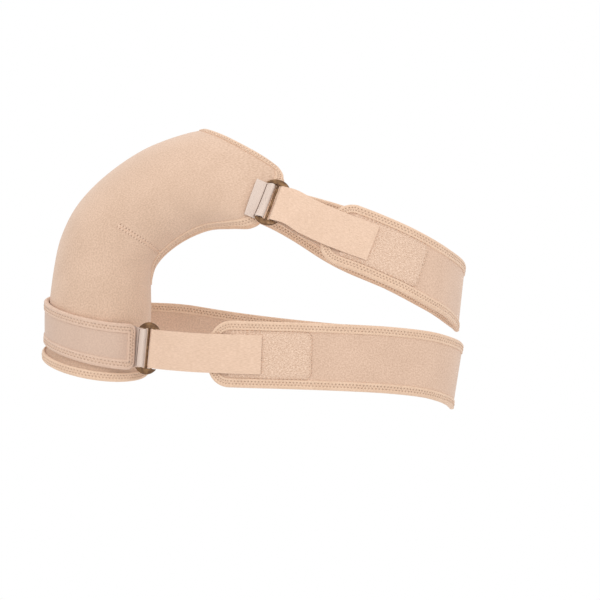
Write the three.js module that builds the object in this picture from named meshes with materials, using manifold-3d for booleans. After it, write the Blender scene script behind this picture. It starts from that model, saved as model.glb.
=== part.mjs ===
import * as THREE from 'three';
import { mergeVertices } from 'three/addons/utils/BufferGeometryUtils.js';
import Module from 'manifold-3d';

const wasm = await Module();
wasm.setup();

// A shoulder brace as it lies on the wearer's right shoulder, in millimetres.
// X runs to the wearer's left, Y to the wearer's back and Z up.
// Shares of height are measured from armpit level.
// The origin is the inner face of the cap on top of the shoulder.

// Body sizes that the brace is cut for
const shoulderReach = 274; // body's midline to the outer side of the arm
const shoulderRise = 157.5; // armpit level to the top of the cap
const sleeveDrop = 107; // armpit level to the hem
const capHalfDepth = 88;
const armHalfDepth = 0.65 * capHalfDepth;
const armSetBack = -12; // arm's axis before the chest's middle plane
const capSetBack = 0.4; // share of that at the neck edge
const chestHalf = 153;
const chestFront = 112;
const chestBack = 107;

// Sheets, bands and webbing
const shellWall = 3;
const bandWidth = 66;
const bandWall = 3;
const bandCorner = 21;
const armBandWidth = 42;
const armBandWall = 3;
const armBandCorner = 7;
const strapWidth = 40;
const strapWall = 1.5;
const tabWidth = 39.5;
const tabWall = 1.2;
const patchWidth = 48;
const patchLength = 83;
const patchWall = 1.5;
const patchCorner = 7;
const tapeWidth = 8.5;
const tapeWall = 0.8;
const clearance = 0.3;

// Three-bar slide
const barWidth = 2.6;
const barPitch = 6;
const plateHalf = 12.5;
const plateRise = 6.5;
const slideWall = 2.6;
const slideSpan = strapWidth + 1.2; // between the end plates
const lowerPull = [0.866, -0.5, -0.08]; // the way each slide is pulled
const upperPull = [0.95, -0.12, -0.29];
const lowerSlideReach = 25; // from the arm band's front end
const lowerSlideTilt = 0.1; // its upper plate lies nearer to the chest
const upperSlideLean = 26; // degrees, as the cap's tip lies
const upperSlideReach = 4; // past the cap's front edge
const upperSlideBelowTip = 0.42; // rows of the sections
const slideLead = 15; // straight run of a strap after its slide

// Lengths along the two chest bands, from the slide's middle bar
const lower = { bandStart: 73, patchStart: 93, freeEnd: 126, fixedEnd: 98 };
const upper = { bandStart: 65, patchStart: 85, freeEnd: 112, fixedEnd: 90 };
const rearWidth = 42; // where a band is sewn down at its rear end
const narrowing = 150; // length over which a band narrows to that
const tabSewn = 11; // length of tab that is sewn down
const seamOverlap = 34; // length of a chest band that is sewn down at its rear
const armBandEnds = { front: 0.72, back: 0.6 }; // shares of the way from the arm's outer to its inner side
const armBandHeight = -0.4; // its middle on the arm's outer side, as a share of the sleeve's drop
const armBandFall = 8; // lower at its front end than on the arm's outer side
const armBandLift = 3.2; // where its front end rides over the tab
const seat = 0.7; // over a curved surface, so that flat facets stay clear

// Heights of a chest band's layers over the body
const strapUnder = 1.1;
const webbingGap = 0.5;
const bandLow = strapUnder + strapWall + webbingGap + tapeWall + clearance;
const bandHigh = bandLow + bandWall;
const patchHigh = bandHigh + clearance + patchWall;
const strapOver = patchHigh + webbingGap;
const slideHeight = 5;

const vector = (x, y, z) => new THREE.Vector3(x, y, z);
const radians = THREE.MathUtils.degToRad;
const mix = THREE.MathUtils.lerp;
const along = (p, direction, distance) => p.clone().addScaledVector(direction, distance);
const across = (share) => share * shoulderReach;
const height = (share) => share * (share > 0 ? shoulderRise : sleeveDrop);

// Sections of the sleeve and cap, from the hem to the neck edge. Each runs from a crest on the outline to the
// edge at the armhole: across is a share of the reach, up of the rise or drop, and front and back of the cap's
// half depth.
const sections = [
  { name: 'hem', crest: [-1, -0.755], edge: [-0.602, -0.91], sweep: 180,
    front: 0.65, back: 0.65, tilt: 13, bow: 0 },
  { name: 'flare', crest: [-1, -0.69], edge: [-0.6, -0.83], sweep: 180,
    front: 0.65, back: 0.65, tilt: 13, bow: 0 },
  { name: 'squeeze', crest: [-0.979, -0.625], edge: [-0.597, -0.76], sweep: 180,
    front: 0.63, back: 0.63, tilt: 13, bow: 0 },
  { name: 'sleeve', crest: [-0.975, -0.2], edge: [-0.588, -0.31], sweep: 180,
    front: 0.635, back: 0.635, tilt: 11, bow: 0 },
  { name: 'armpit', crest: [-0.95, 0.167], edge: [-0.586, 0.02], sweep: 180,
    front: 0.69, back: 0.69, tilt: 3, bow: 0 },
  { name: 'fold', crest: [-0.921, 0.333], edge: [-0.55, 0.15], sweep: 160,
    front: 0.74, back: 0.76, tilt: 0, bow: 0 },
  { name: 'shoulder', crest: [-0.874, 0.487], edge: [-0.471, 0.263], sweep: 146,
    front: 0.79, back: 0.83, tilt: 0, bow: 0 },
  { name: 'deltoid', crest: [-0.805, 0.627], edge: [-0.372, 0.34], sweep: 131,
    front: 0.86, back: 0.92, tilt: 0, bow: 0 },
  { name: 'blade', crest: [-0.716, 0.757], edge: [-0.28, 0.353], sweep: 118,
    front: 0.93, back: 1, tilt: 0, bow: 0 },
  { name: 'chest', crest: [-0.621, 0.863], edge: [-0.211, 0.357], sweep: 106,
    front: 0.97, back: 1.05, tilt: 0, bow: 0 },
  { name: 'tip low', crest: [-0.533, 0.93], edge: [-0.165, 0.413], sweep: 99,
    front: 0.95, back: 1.06, tilt: 0, bow: 0.004 },
  { name: 'tip', crest: [-0.452, 0.975], edge: [-0.12, 0.55], sweep: 95,
    front: 0.85, back: 1.02, tilt: 0, bow: 0.007 },
  { name: 'corner', crest: [-0.405, 0.993], edge: [-0.084, 0.667], sweep: 93,
    front: 0.7, back: 0.96, tilt: 0, bow: 0.01 },
  { name: 'neck', crest: [-0.383, 1], edge: [-0.103, 0.737], sweep: 92,
    front: 0.63, back: 0.92, tilt: 0, bow: 0.012 },
];
const rowOf = (name) => sections.findIndex((section) => section.name === name);

// Paths of the chest bands' middle lines from the slide to the rear: across is a share of the chest's half
// width, depth of its front or back depth, height as above, and lean turns the band's upper edge towards the
// body.
const lowerPath = [
  { across: -0.7, depth: -0.855, height: -0.7, lean: 0 },
  { across: -0.46, depth: -0.945, height: -0.715, lean: 2 },
  { across: -0.1, depth: -1, height: -0.73, lean: 3 },
  { across: 0.24, depth: -0.99, height: -0.747, lean: 2 },
  { across: 0.55, depth: -0.9, height: -0.772, lean: 0 },
  { across: 0.8, depth: -0.7, height: -0.815, lean: -4 },
  { across: 0.955, depth: -0.4, height: -0.885, lean: -8 },
  { across: 1, depth: -0.04, height: -0.945, lean: -9 },
  { across: 0.97, depth: 0.33, height: -0.91, lean: -7 },
  { across: 0.84, depth: 0.68, height: -0.85, lean: -3 },
  { across: 0.58, depth: 0.92, height: -0.8, lean: 0 },
  { across: 0.24, depth: 1, height: -0.76, lean: 2 },
  { across: -0.15, depth: 1, height: -0.705, lean: 3 },
  { across: -0.55, depth: 0.91, height: -0.63, lean: 2 },
  { across: -0.95, depth: 0.75, height: -0.53, lean: 0 },
  { across: -1.28, depth: 0.57, height: -0.44, lean: 0 },
  { across: -1.52, depth: 0.43, height: -0.39, lean: 0 },
  { across: -1.67, depth: 0.28, height: -0.39, lean: 0 },
];
const upperPath = [
  { across: 0.02, depth: -0.84, height: 0.383, lean: 23 },
  { across: 0.24, depth: -0.915, height: 0.292, lean: 19 },
  { across: 0.45, depth: -0.925, height: 0.213, lean: 16 },
  { across: 0.68, depth: -0.86, height: 0.113, lean: 10 },
  { across: 0.88, depth: -0.67, height: 0.005, lean: 2 },
  { across: 0.99, depth: -0.36, height: -0.1, lean: -5 },
  { across: 1.025, depth: -0.02, height: -0.185, lean: -6 },
  { across: 1, depth: 0.33, height: -0.15, lean: -3 },
  { across: 0.87, depth: 0.68, height: 0, lean: 0 },
  { across: 0.62, depth: 0.91, height: 0.14, lean: 5 },
  { across: 0.34, depth: 0.97, height: 0.26, lean: 9 },
  { across: 0.05, depth: 0.93, height: 0.39, lean: 9 },
  { across: -0.24, depth: 0.865, height: 0.51, lean: 8 },
  { across: -0.48, depth: 0.8, height: 0.62, lean: 8 },
];

// One value of a table between its rows, on a smooth curve through them
function between(table, read, place) {
  const last = table.length - 1;
  const index = Math.min(Math.floor(place), last - 1);
  const value = (i) => read(table[THREE.MathUtils.clamp(i, 0, last)]);
  const rise = (value(index + 1) - value(index - 1)) / 2;
  const run = (value(index + 2) - value(index)) / 2;
  const t = place - index;
  const bend = t * (1 - t);
  const straight = mix(value(index), value(index + 1), t);
  const step = value(index + 1) - value(index);
  return straight + bend * ((1 - t) * (rise - step) - t * (run - step));
}

function sectionAt(place) {
  const read = (pick) => between(sections, pick, place);
  const armpit = rowOf('armpit');
  const arm = Math.min(place / armpit, 1);
  return {
    crest: [across(read((s) => s.crest[0])), read((s) => height(s.crest[1]))],
    edge: [across(read((s) => s.edge[0])), read((s) => height(s.edge[1]))],
    sweep: place <= armpit ? Math.PI : Math.min(radians(read((s) => s.sweep)), Math.PI),
    front: read((s) => s.front) * capHalfDepth,
    back: read((s) => s.back) * capHalfDepth,
    slope: Math.tan(radians(read((s) => s.tilt))),
    bow: across(read((s) => s.bow)),
    middle: armSetBack * mix(1, capSetBack, (place / (sections.length - 1)) * arm),
  };
}

// A point of the shell's outer face. Way is 0 on the crest, -1 at the front edge and 1 at the back edge.
function shellPoint(place, way) {
  const section = sectionAt(place);
  const turn = Math.abs(way) * section.sweep;
  const share = (1 - Math.cos(turn)) / (1 - Math.cos(section.sweep));
  const depth = way < 0 ? -section.front * Math.sin(turn) : section.back * Math.sin(turn);
  const [runX, runZ] = [section.edge[0] - section.crest[0], section.edge[1] - section.crest[1]];
  const bulge = (section.bow * (1 - Math.abs(2 * share - 1) ** 3)) / Math.hypot(runX, runZ);
  return vector(
    section.crest[0] + runX * share - runZ * bulge,
    section.middle + depth,
    section.crest[1] + runZ * share + runX * bulge + section.slope * depth,
  );
}

// Outward normals of a grid of points: rows run upwards or along, columns across
function normalsOf(points, seamRows = 0) {
  return points.map((row, i) => row.map((_, j) => {
    const wraps = i < seamRows && (j === 0 || j === row.length - 1);
    const last = (wraps ? seamRows : points.length) - 1;
    const before = wraps ? row[row.length - 2] : row[Math.max(j - 1, 0)];
    const after = wraps ? row[1] : row[Math.min(j + 1, row.length - 1)];
    const up = points[Math.min(i + 1, last)][j].clone().sub(points[Math.max(i - 1, 0)][j]);
    return up.cross(after.clone().sub(before)).normalize();
  }));
}

// A closed body from its triangles, turned so that they face outwards
function solid(pieces) {
  const triangles = pieces.filter(hasArea);
  const volume = triangles.reduce((sum, [a, b, c]) => sum + a.dot(b.clone().cross(c)), 0);
  const outward = volume > 0 ? triangles : triangles.map((corners) => [...corners].reverse());
  const geometry = new THREE.BufferGeometry();
  const numbers = outward.flatMap((corners) => corners.flatMap((p) => [p.x, p.y, p.z]));
  geometry.setAttribute('position', new THREE.Float32BufferAttribute(numbers, 3));
  geometry.computeVertexNormals();
  return geometry;
}

const quad = (a, b, c, d) => [[a, b, c], [a, c, d]];
const hasArea = ([a, b, c]) => Math.min(a.distanceTo(b), b.distanceTo(c), c.distanceTo(a)) > 1e-3;

// A sheet between two heights over a grid, closed at its borders; rows before openFrom join up at their two ends
function sheet(grid, low, high, openFrom = 0) {
  const { points, normals } = grid;
  const top = points.map((row, i) => row.map((p, j) => along(p, normals[i][j], high)));
  const foot = points.map((row, i) => row.map((p, j) => along(p, normals[i][j], low)));
  const triangles = [];
  const rows = points.length - 1;
  const columns = points[0].length - 1;
  for (let i = 0; i < rows; i += 1) {
    for (let j = 0; j < columns; j += 1) {
      triangles.push(...quad(top[i][j], top[i + 1][j], top[i + 1][j + 1], top[i][j + 1]));
      triangles.push(...quad(foot[i][j], foot[i][j + 1], foot[i + 1][j + 1], foot[i + 1][j]));
    }
    if (i < openFrom) continue;
    triangles.push(...quad(foot[i][0], foot[i + 1][0], top[i + 1][0], top[i][0]));
    triangles.push(...quad(top[i][columns], top[i + 1][columns], foot[i + 1][columns], foot[i][columns]));
  }
  for (let j = 0; j < columns; j += 1) {
    triangles.push(...quad(foot[0][j], top[0][j], top[0][j + 1], foot[0][j + 1]));
    triangles.push(...quad(top[rows][j], foot[rows][j], foot[rows][j + 1], top[rows][j + 1]));
  }
  return solid(triangles);
}

// Joins rings of corners into one tube, closed on itself or with flat ends
function tube(rings, closed, turnsQuad = () => false) {
  const triangles = [];
  const size = rings[0].length;
  const steps = closed ? rings.length : rings.length - 1;
  for (let i = 0; i < steps; i += 1) {
    const [here, next] = [rings[i], rings[(i + 1) % rings.length]];
    for (let k = 0; k < size; k += 1) {
      const l = (k + 1) % size;
      const corners = [here[k], next[k], next[l], here[l]];
      if (turnsQuad(i, k)) corners.push(corners.shift());
      triangles.push(...quad(...corners));
    }
  }
  if (!closed) triangles.push(...endCap(rings[0], false), ...endCap(rings.at(-1), true));
  return solid(triangles);
}

// A ring's corners lie in pairs: the first half on one side and the second half back along the other
function endCap(ring, turned) {
  const triangles = [];
  const last = ring.length - 1;
  for (let k = 0; k < ring.length / 2 - 1; k += 1) {
    const corners = [ring[k], ring[k + 1], ring[last - k - 1], ring[last - k]];
    triangles.push(...quad(...(turned ? corners.reverse() : corners)));
  }
  return triangles;
}

// Tape folded over the edge of a sheet. Each stop has a point and normal on the edge and on the line inside it.
function foldedTape(stops, low, high, closed) {
  const near = clearance;
  const far = clearance + tapeWall;
  const rings = stops.map(({ edge, inside }, k) => {
    const out = edgeDirection(stops, k, closed);
    const rim = (reach, lift) => along(along(edge.p, out, reach), edge.n, lift);
    const leaf = (lift) => along(inside.p, inside.n, lift);
    return [
      leaf(high + far), rim(far, high + far), rim(far, low - far), leaf(low - far),
      leaf(low - near), rim(near, low - near), rim(near, high + near), leaf(high + near),
    ];
  });
  // Each facet of the tape is split on the same diagonal as the sheet's facet under it
  return tube(rings, closed, (i, k) => k % 4 === (stops[i].rimFirst ? 0 : 2));
}

// The way out of a sheet, square to its edge; stops that share one edge point share it too
function edgeDirection(stops, k, closed) {
  const { edge, inside } = stops[k];
  const beside = (step) => {
    for (let i = k + step; i !== k; i += step) {
      if (!closed && (i < 0 || i >= stops.length)) return edge.p;
      i = (i + stops.length) % stops.length;
      if (stops[i].edge.p.distanceTo(edge.p) > 0.01) return stops[i].edge.p;
    }
    return edge.p;
  };
  const out = beside(1).clone().sub(beside(-1)).cross(edge.n).normalize();
  return out.dot(edge.p.clone().sub(inside.p)) < 0 ? out.negate() : out;
}

// Rows and columns of the shell, with one of each a tape's width inside every free edge
const halfColumns = 11;
const armpitRow = rowOf('armpit');

function placeBeside(place, sign, distance) {
  const start = shellPoint(place, 0);
  let reach = 0;
  while (start.distanceTo(shellPoint(place + sign * reach, 0)) < distance) reach += 0.01;
  return place + sign * reach;
}

function shellPlaces() {
  const top = sections.length - 1;
  const sleeve = [0, placeBeside(0, 1, tapeWidth), 1.6, 2, 3, 3.45, placeBeside(armpitRow, -1, tapeWidth)];
  const cap = [armpitRow, armpitRow + 1 / 3, armpitRow + 2 / 3];
  for (let half = 2; armpitRow + half / 2 < top - 1.5; half += 1) cap.push(armpitRow + half / 2);
  return [...sleeve, ...cap, placeBeside(top, -1, tapeWidth), top];
}

function waysAt(place) {
  const half = [-1, 1].map((side) => {
    let length = 0;
    const steps = 24;
    for (let k = 0; k < steps; k += 1) {
      length += shellPoint(place, (side * k) / steps).distanceTo(shellPoint(place, (side * (k + 1)) / steps));
    }
    const inset = 1 - tapeWidth / length;
    return [1, ...Array.from({ length: halfColumns }, (_, k) => inset * (1 - k / (halfColumns - 1)))];
  });
  const front = half[0].map((way) => -way);
  return [...front, ...half[1].reverse().slice(1)];
}

function shellGrid() {
  const places = shellPlaces();
  const points = places.map((place) => waysAt(place).map((way) => shellPoint(place, way)));
  const seamRows = places.indexOf(armpitRow) + 1;
  for (let i = 0; i < seamRows; i += 1) points[i][points[i].length - 1] = points[i][0].clone();
  return { points, normals: normalsOf(points, seamRows), places, seamRows };
}

const shell = shellGrid();
const node = (i, j) => ({ p: shell.points[i][j], n: shell.normals[i][j] });

function capEdgeStops() {
  const { seamRows, points } = shell;
  const top = points.length - 1;
  const last = points[0].length - 1;
  const inner = top - 1;
  const armpit = node(seamRows - 1, 0);
  const under = [[seamRows - 1, last - 1], [seamRows - 2, last - 1], [seamRows - 2, 0], [seamRows - 2, 1],
    [seamRows - 1, 1]];
  const stops = under.map(([i, j]) => ({ edge: armpit, inside: node(i, j) }));
  const rowInside = (i) => Math.min(i, inner);
  stops.at(-1).rimFirst = true;
  for (let i = seamRows; i < top; i += 1) {
    stops.push({ edge: node(i, 0), inside: node(rowInside(i), 1), rimFirst: true });
  }
  for (let j = 0; j <= last; j += 1) {
    const inside = node(inner, THREE.MathUtils.clamp(j, 1, last - 1));
    stops.push({ edge: node(top, j), inside, rimFirst: j === last });
  }
  for (let i = top - 1; i >= seamRows; i -= 1) {
    stops.push({ edge: node(i, last), inside: node(rowInside(i), last - 1), rimFirst: true });
  }
  return stops;
}

function hemStops() {
  return shell.points[0].slice(0, -1).map((_, j) => ({ edge: node(0, j), inside: node(1, j) })).reverse();
}

// The arm band lies on the sleeve. Way runs as on the shell, and rise is measured up from the band's middle.
function armBandPoint(way, rise, lift = 0) {
  const placeAt = (level) => {
    let low = 0;
    let high = armpitRow;
    for (let k = 0; k < 30; k += 1) {
      const middle = (low + high) / 2;
      if (sectionAt(middle).crest[1] < level) low = middle;
      else high = middle;
    }
    return low;
  };
  const fall = (armBandFall * (1 - Math.cos(Math.min(way, 0) * Math.PI))) / 2;
  const level = height(armBandHeight) - fall + rise;
  const step = 0.01;
  const place = placeAt(level);
  const p = shellPoint(place, way);
  const up = shellPoint(place + step, way).sub(shellPoint(place - step, way));
  const round = shellPoint(place, way + step).sub(shellPoint(place, way - step));
  const n = up.cross(round).normalize();
  return { p: along(p, n, lift), n };
}

const armBandLow = seat + tapeWall + clearance;
const armBandHigh = armBandLow + armBandWall;

const armBandRises = () => {
  const half = armBandWidth / 2;
  return [half, half - tapeWidth, 0, tapeWidth - half, -half];
};

function armBandNodes() {
  const half = armBandWidth / 2;
  return armBandWays().map(({ way, lift, half: reach }) => (
    armBandRises().map((rise) => armBandPoint(way, (rise * reach) / half, lift))));
}

function armBandGrid() {
  const nodes = armBandNodes();
  return {
    points: nodes.map((row) => row.map(({ p }) => p)),
    normals: nodes.map((row) => row.map(({ n }) => n)),
  };
}

// Stops round the sleeve, from the rounded front end to the rear
function armBandWays() {
  const half = armBandWidth / 2;
  const step = 1 / armHalfDepth / Math.PI; // share of the half turn for each millimetre
  const start = -armBandEnds.front;
  const round = [0, 0.3, 1].map((share) => ({
    way: start + share * armBandCorner * step,
    half: half - armBandCorner * (1 - Math.sqrt(1 - (1 - share) ** 2)),
  }));
  const first = start + tapeWidth * step;
  const count = 20;
  const rest = Array.from({ length: count + 1 }, (_, k) => (
    { way: mix(first, armBandEnds.back, k / count), half }));
  return [...round, ...rest].map((stop) => {
    const reach = (stop.way - start) / step;
    const settled = THREE.MathUtils.smoothstep(reach, tabSewn + 3, tabSewn + 25);
    return { ...stop, lift: armBandLift * (1 - settled) };
  });
}

// Down one edge of the arm band, across its front end and back along the other edge
function armBandTapeStops() {
  const nodes = armBandNodes();
  const inner = 3; // first row of the grid a tape's width from the end
  const last = nodes[0].length - 1;
  const middle = last / 2;
  const side = (j, inside) => nodes.map((row, i) => (
    { edge: row[j], inside: nodes[Math.max(i, inner)][inside] }));
  const end = { edge: nodes[0][middle], inside: nodes[inner][middle] };
  return [...side(0, 1).reverse(), end, ...side(last, last - 1)];
}

// A strip of surface along a path: rows of points across it, each at a length along the path
class Strip {
  constructor(rows) {
    this.rows = rows;
    this.normals = normalsOf(rows.map((row) => row.points));
  }

  // The point at a length along, a distance across and a height over the strip
  at(length, side, lift) {
    const { rows, normals } = this;
    let i = rows.findIndex((row) => row.length > length) - 1;
    if (i < 0) i = length < rows[0].length ? 0 : rows.length - 2;
    const share = (length - rows[i].length) / (rows[i + 1].length - rows[i].length);
    const cells = rows[0].points.length - 1;
    const inRow = (grid, row) => {
      const place = (side / rows[row].half + 1) * 0.5 * cells;
      const j = THREE.MathUtils.clamp(Math.floor(place), 0, cells - 1);
      return grid(row, j).clone().lerp(grid(row, j + 1), place - j);
    };
    const blend = (grid) => inRow(grid, i).lerp(inRow(grid, i + 1), share);
    const n = blend((a, b) => normals[a][b]).normalize();
    return along(blend((a, b) => rows[a].points[b]), n, lift);
  }

  lengthsBetween(start, end) {
    const inside = this.rows.map((row) => row.length).filter((l) => l > start + 1 && l < end - 1);
    return [start, ...inside, end];
  }
}

const stripColumns = [-1, -0.5, 0, 0.5, 1];

function frameOf(origin, forward, lean) {
  const t = forward.clone().normalize();
  const outward = vector(t.y, -t.x, 0).normalize();
  const upward = vector(0, 0, Math.cos(lean)).addScaledVector(outward, -Math.sin(lean));
  const v = upward.addScaledVector(t, -upward.dot(t)).normalize();
  return { origin, t, v, n: t.clone().cross(v) };
}

function pathPoint(row) {
  const depth = row.depth * (row.depth < 0 ? chestFront : chestBack);
  return vector(row.across * chestHalf, depth, height(row.height));
}

// Frames from a slide along a chest path, a few to each row of its table
function chestFrames(slide, table) {
  const points = [slide.origin, along(slide.origin, slide.t, slideLead), ...table.map(pathPoint)];
  const curve = new THREE.CatmullRomCurve3(points, false, 'centripetal');
  const leans = [{ lean: 0 }, { lean: 0 }, ...table];
  const frames = [slide, { ...slide, origin: points[1] }];
  const perRow = 2;
  const steps = (points.length - 2) * perRow;
  for (let k = 1; k <= steps; k += 1) {
    const place = 1 + k / perRow;
    const t = place / (points.length - 1);
    const lean = place < 2 ? table[0].lean : between(leans, (row) => row.lean, place);
    const frame = frameOf(curve.getPoint(t), curve.getTangent(t), radians(lean));
    if (place < 2) frame.v.lerp(slide.v, 2 - place).normalize();
    frames.push(frame);
  }
  return frames;
}

function lengthsOf(frames, start) {
  const lengths = [start];
  frames.slice(1).forEach((frame, i) => lengths.push(lengths[i] + frame.origin.distanceTo(frames[i].origin)));
  return lengths;
}

function stripFrom(frames, halfAt, settle = (p) => p, start = 0) {
  const lengths = lengthsOf(frames, start);
  return new Strip(frames.map((frame, i) => {
    const half = halfAt(lengths[i], lengths.at(-1));
    const flat = stripColumns.map((share) => along(frame.origin, frame.v, share * half));
    return { length: lengths[i], half, points: settle(flat, frame) };
  }));
}

// Half the width of a chest band, which narrows to its rear end
function bandHalf(length, end) {
  return mix(bandWidth, rearWidth, THREE.MathUtils.smoothstep(length, end - narrowing, end - seamOverlap)) / 2;
}

// The tabs' strips end at a slide's middle bar, at length 0
function shoulderTabStrip() {
  const back = tabSewn + plateHalf;
  const frames = [-back, -back + tabSewn / 2, -plateHalf, -plateHalf / 2, 0].map((length) => (
    { ...upperSlide, origin: along(upperSlide.origin, upperSlide.t, length) }));
  const reach = ({ origin }) => origin.distanceTo(upperSlide.origin);
  const isSewn = (frame) => reach(frame) > plateHalf + clearance;
  const onShell = settleOn(shellGeometry, overBinding + clearance / 2, isSewn);
  const settle = (points, frame) => (reach(frame) > plateHalf - clearance ? onShell(points, frame) : points);
  return stripFrom(frames, () => tabWidth / 2, settle, -back);
}

function armTabStrip() {
  const step = 1 / armHalfDepth / Math.PI;
  const half = tabWidth / 2;
  const beyondBand = -5.5; // from the arm band's end, where the tab leaves the sleeve
  const ways = [tabSewn + 1, tabSewn / 2, 0, beyondBand].map((reach) => step * reach - armBandEnds.front);
  const sewn = ways.map((way) => stripColumns.map((share) => armBandPoint(way, share * half, seat).p));
  const straight = [-plateHalf, -plateHalf / 2, 0].map((length) => (
    stripColumns.map((share) => along(along(lowerSlide.origin, lowerSlide.t, length), lowerSlide.v, share * half))));
  const points = [...sewn, ...straight];
  const lengths = [0];
  for (let i = points.length - 1; i > 0; i -= 1) {
    lengths.unshift(lengths[0] - points[i][2].distanceTo(points[i - 1][2]));
  }
  return new Strip(points.map((row, i) => ({ length: lengths[i], half, points: row })));
}

// Two legs sewn flat, and a fold round the slide's near bar
function tabLine(strip) {
  const radius = barWidth / 2 + webbingGap + tabWall / 2;
  const legGap = 0.2;
  const under = tabWall / 2;
  const over = under + tabWall + legGap;
  const start = strip.rows[0].length;
  const low = strip.lengthsBetween(start, -plateHalf).map((length) => [length, under]);
  const high = strip.lengthsBetween(start, -plateHalf).reverse().map((length) => [length, over]);
  const [below, above] = leaveBar(-barPitch, radius, -1);
  return [...low, below, ...roundBar(-barPitch, radius, -1), above, ...high];
}

// The first point where a line into the body meets a solid, or nothing
function meet(geometry, point, inward) {
  const position = geometry.getAttribute('position');
  const outside = 80; // beyond any bulge of the solid
  const ray = new THREE.Ray(along(point, inward, -outside), inward);
  const corners = [vector(), vector(), vector()];
  let best = null;
  for (let i = 0; i < position.count; i += 3) {
    corners.forEach((corner, k) => corner.fromBufferAttribute(position, i + k));
    const hit = ray.intersectTriangle(...corners, false, vector());
    if (hit && (!best || hit.distanceTo(ray.origin) < best.distanceTo(ray.origin))) best = hit;
  }
  return best;
}

const overBinding = 2 * clearance + tapeWall;

// Moves a row of points that is sewn down onto the solid under it, and any other row clear of it as one
function settleOn(geometry, lift, isSewn) {
  return (points, frame) => {
    const inward = frame.n.clone().negate();
    const hits = points.map((point) => meet(geometry, point, inward));
    const rises = hits.map((hit, j) => hit && along(hit, frame.n, lift).sub(points[j]).dot(frame.n));
    const known = rises.filter((rise) => rise !== null);
    if (!known.length) return points;
    const nearest = (j) => [0, 1, 2, 3, 4].flatMap((step) => [rises[j - step], rises[j + step]])
      .find((rise) => rise !== null && rise !== undefined);
    const whole = Math.max(0, ...known);
    return points.map((point, j) => along(point, frame.n, isSewn(frame) ? nearest(j) : whole));
  };
}

// The slides' frames: the lower one beside the sleeve, the upper one on the cap's front tip
const shellGeometry = sheet(shell, -shellWall, 0, shell.seamRows - 1);
const lowerSlide = lowerSlideFrame();
const upperSlide = upperSlideFrame();

function lowerSlideFrame() {
  const bandEnd = armBandPoint(-armBandEnds.front, 0).p;
  const forward = vector(...lowerPull).normalize();
  const frame = frameOf(along(bandEnd, forward, lowerSlideReach), forward, 0);
  frame.v.add(vector(lowerSlideTilt, 0, 0)).normalize();
  return squared(frame);
}

function upperSlideFrame() {
  const tip = shellPoint(rowOf('tip') - upperSlideBelowTip, -1);
  const frame = frameOf(tip, vector(...upperPull), radians(upperSlideLean));
  const outside = along(tip, frame.t, upperSlideReach);
  return squared({ ...frame, origin: along(outside, frame.n, overBinding + seat + clearance) });
}

function squared(frame) {
  const v = frame.v.clone().addScaledVector(frame.t, -frame.v.dot(frame.t)).normalize();
  return { ...frame, v, n: frame.t.clone().cross(v) };
}

// Webbing that follows a line of lengths and heights over a strip
function webbing(strip, line, width, wall) {
  const rings = line.map(([length, lift], k) => {
    const before = line[Math.max(k - 1, 0)];
    const after = line[Math.min(k + 1, line.length - 1)];
    const run = Math.hypot(after[0] - before[0], after[1] - before[1]);
    const up = [-(after[1] - before[1]) / run, (after[0] - before[0]) / run];
    const corner = (side, sign) => {
      const off = (sign * wall) / 2;
      return strip.at(length + up[0] * off, side, lift + up[1] * off);
    };
    const half = width / 2;
    return [corner(-half, 1), corner(0, 1), corner(half, 1), corner(half, -1), corner(0, -1), corner(-half, -1)];
  });
  return tube(rings, false);
}

// A line that comes in low, turns round a bar and goes back high, in the direction of sign
function roundBar(centre, radius, sign) {
  const turns = 6;
  return Array.from({ length: turns + 1 }, (_, k) => {
    const angle = -Math.PI / 2 - (sign * Math.PI * k) / turns;
    return [centre + radius * Math.cos(angle), slideHeight + radius * Math.sin(angle)];
  });
}

// The points where webbing leaves its fold, past the bar's far side
function leaveBar(centre, radius, sign) {
  const closing = 0.75; // the legs draw together there
  return [-1, 1].map((side) => [centre + sign * (radius + clearance), slideHeight + side * closing * radius]);
}

function strapLine(strip, sizes) {
  const radius = barWidth / 2 + clearance + strapWall / 2;
  const under = strapUnder + strapWall / 2;
  const over = strapOver + strapWall / 2;
  const settleBy = 26; // where its legs reach their heights over the body
  const low = strip.lengthsBetween(settleBy, sizes.fixedEnd).reverse().map((length) => [length, under]);
  const high = strip.lengthsBetween(settleBy, sizes.freeEnd).map((length) => [length, over]);
  return [...low, ...roundBar(barPitch, radius, 1), ...high];
}

function bandStops(strip, start, end) {
  const half = bandWidth / 2;
  const corner = [0, 15, 35, 60, 90].map((turn) => ({
    length: start + bandCorner * (1 - Math.sin(radians(turn))),
    half: half - bandCorner * (1 - Math.cos(radians(turn))),
    turn: radians(turn),
  })).reverse();
  const last = strip.rows.at(-1).length;
  const rest = strip.lengthsBetween(start + bandCorner, end).slice(1)
    .map((length) => ({ length, half: bandHalf(length, last), turn: 0 }));
  return [...corner, ...rest];
}

function bandSolid(strip, stops) {
  const columns = [1, 0.5, 0, -0.5, -1];
  const place = (lift) => stops.map(({ length, half }) => (
    columns.map((share) => strip.at(length, share * half, lift))));
  const [foot, top] = [place(bandLow), place(bandHigh)];
  const normals = top.map((row, i) => row.map((p, j) => p.clone().sub(foot[i][j]).normalize()));
  return sheet({ points: foot, normals }, 0, bandWall);
}

function bandTape(strip, stops) {
  const stop = ({ length, half, turn }, side) => {
    const inner = [length + tapeWidth * Math.sin(turn), side * (half - tapeWidth * Math.cos(turn))];
    const at = (l, w) => {
      const p = strip.at(l, w, 0);
      return { p, n: strip.at(l, w, 1).sub(p) };
    };
    return { edge: at(length, side * half), inside: at(...inner) };
  };
  const upperEdge = stops.map((entry) => stop(entry, 1)).reverse();
  const lowerEdge = stops.map((entry) => stop(entry, -1));
  const ease = clearance / 2; // where the band twists
  return foldedTape([...upperEdge, ...lowerEdge], bandLow - ease, bandHigh + ease, false);
}

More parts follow.
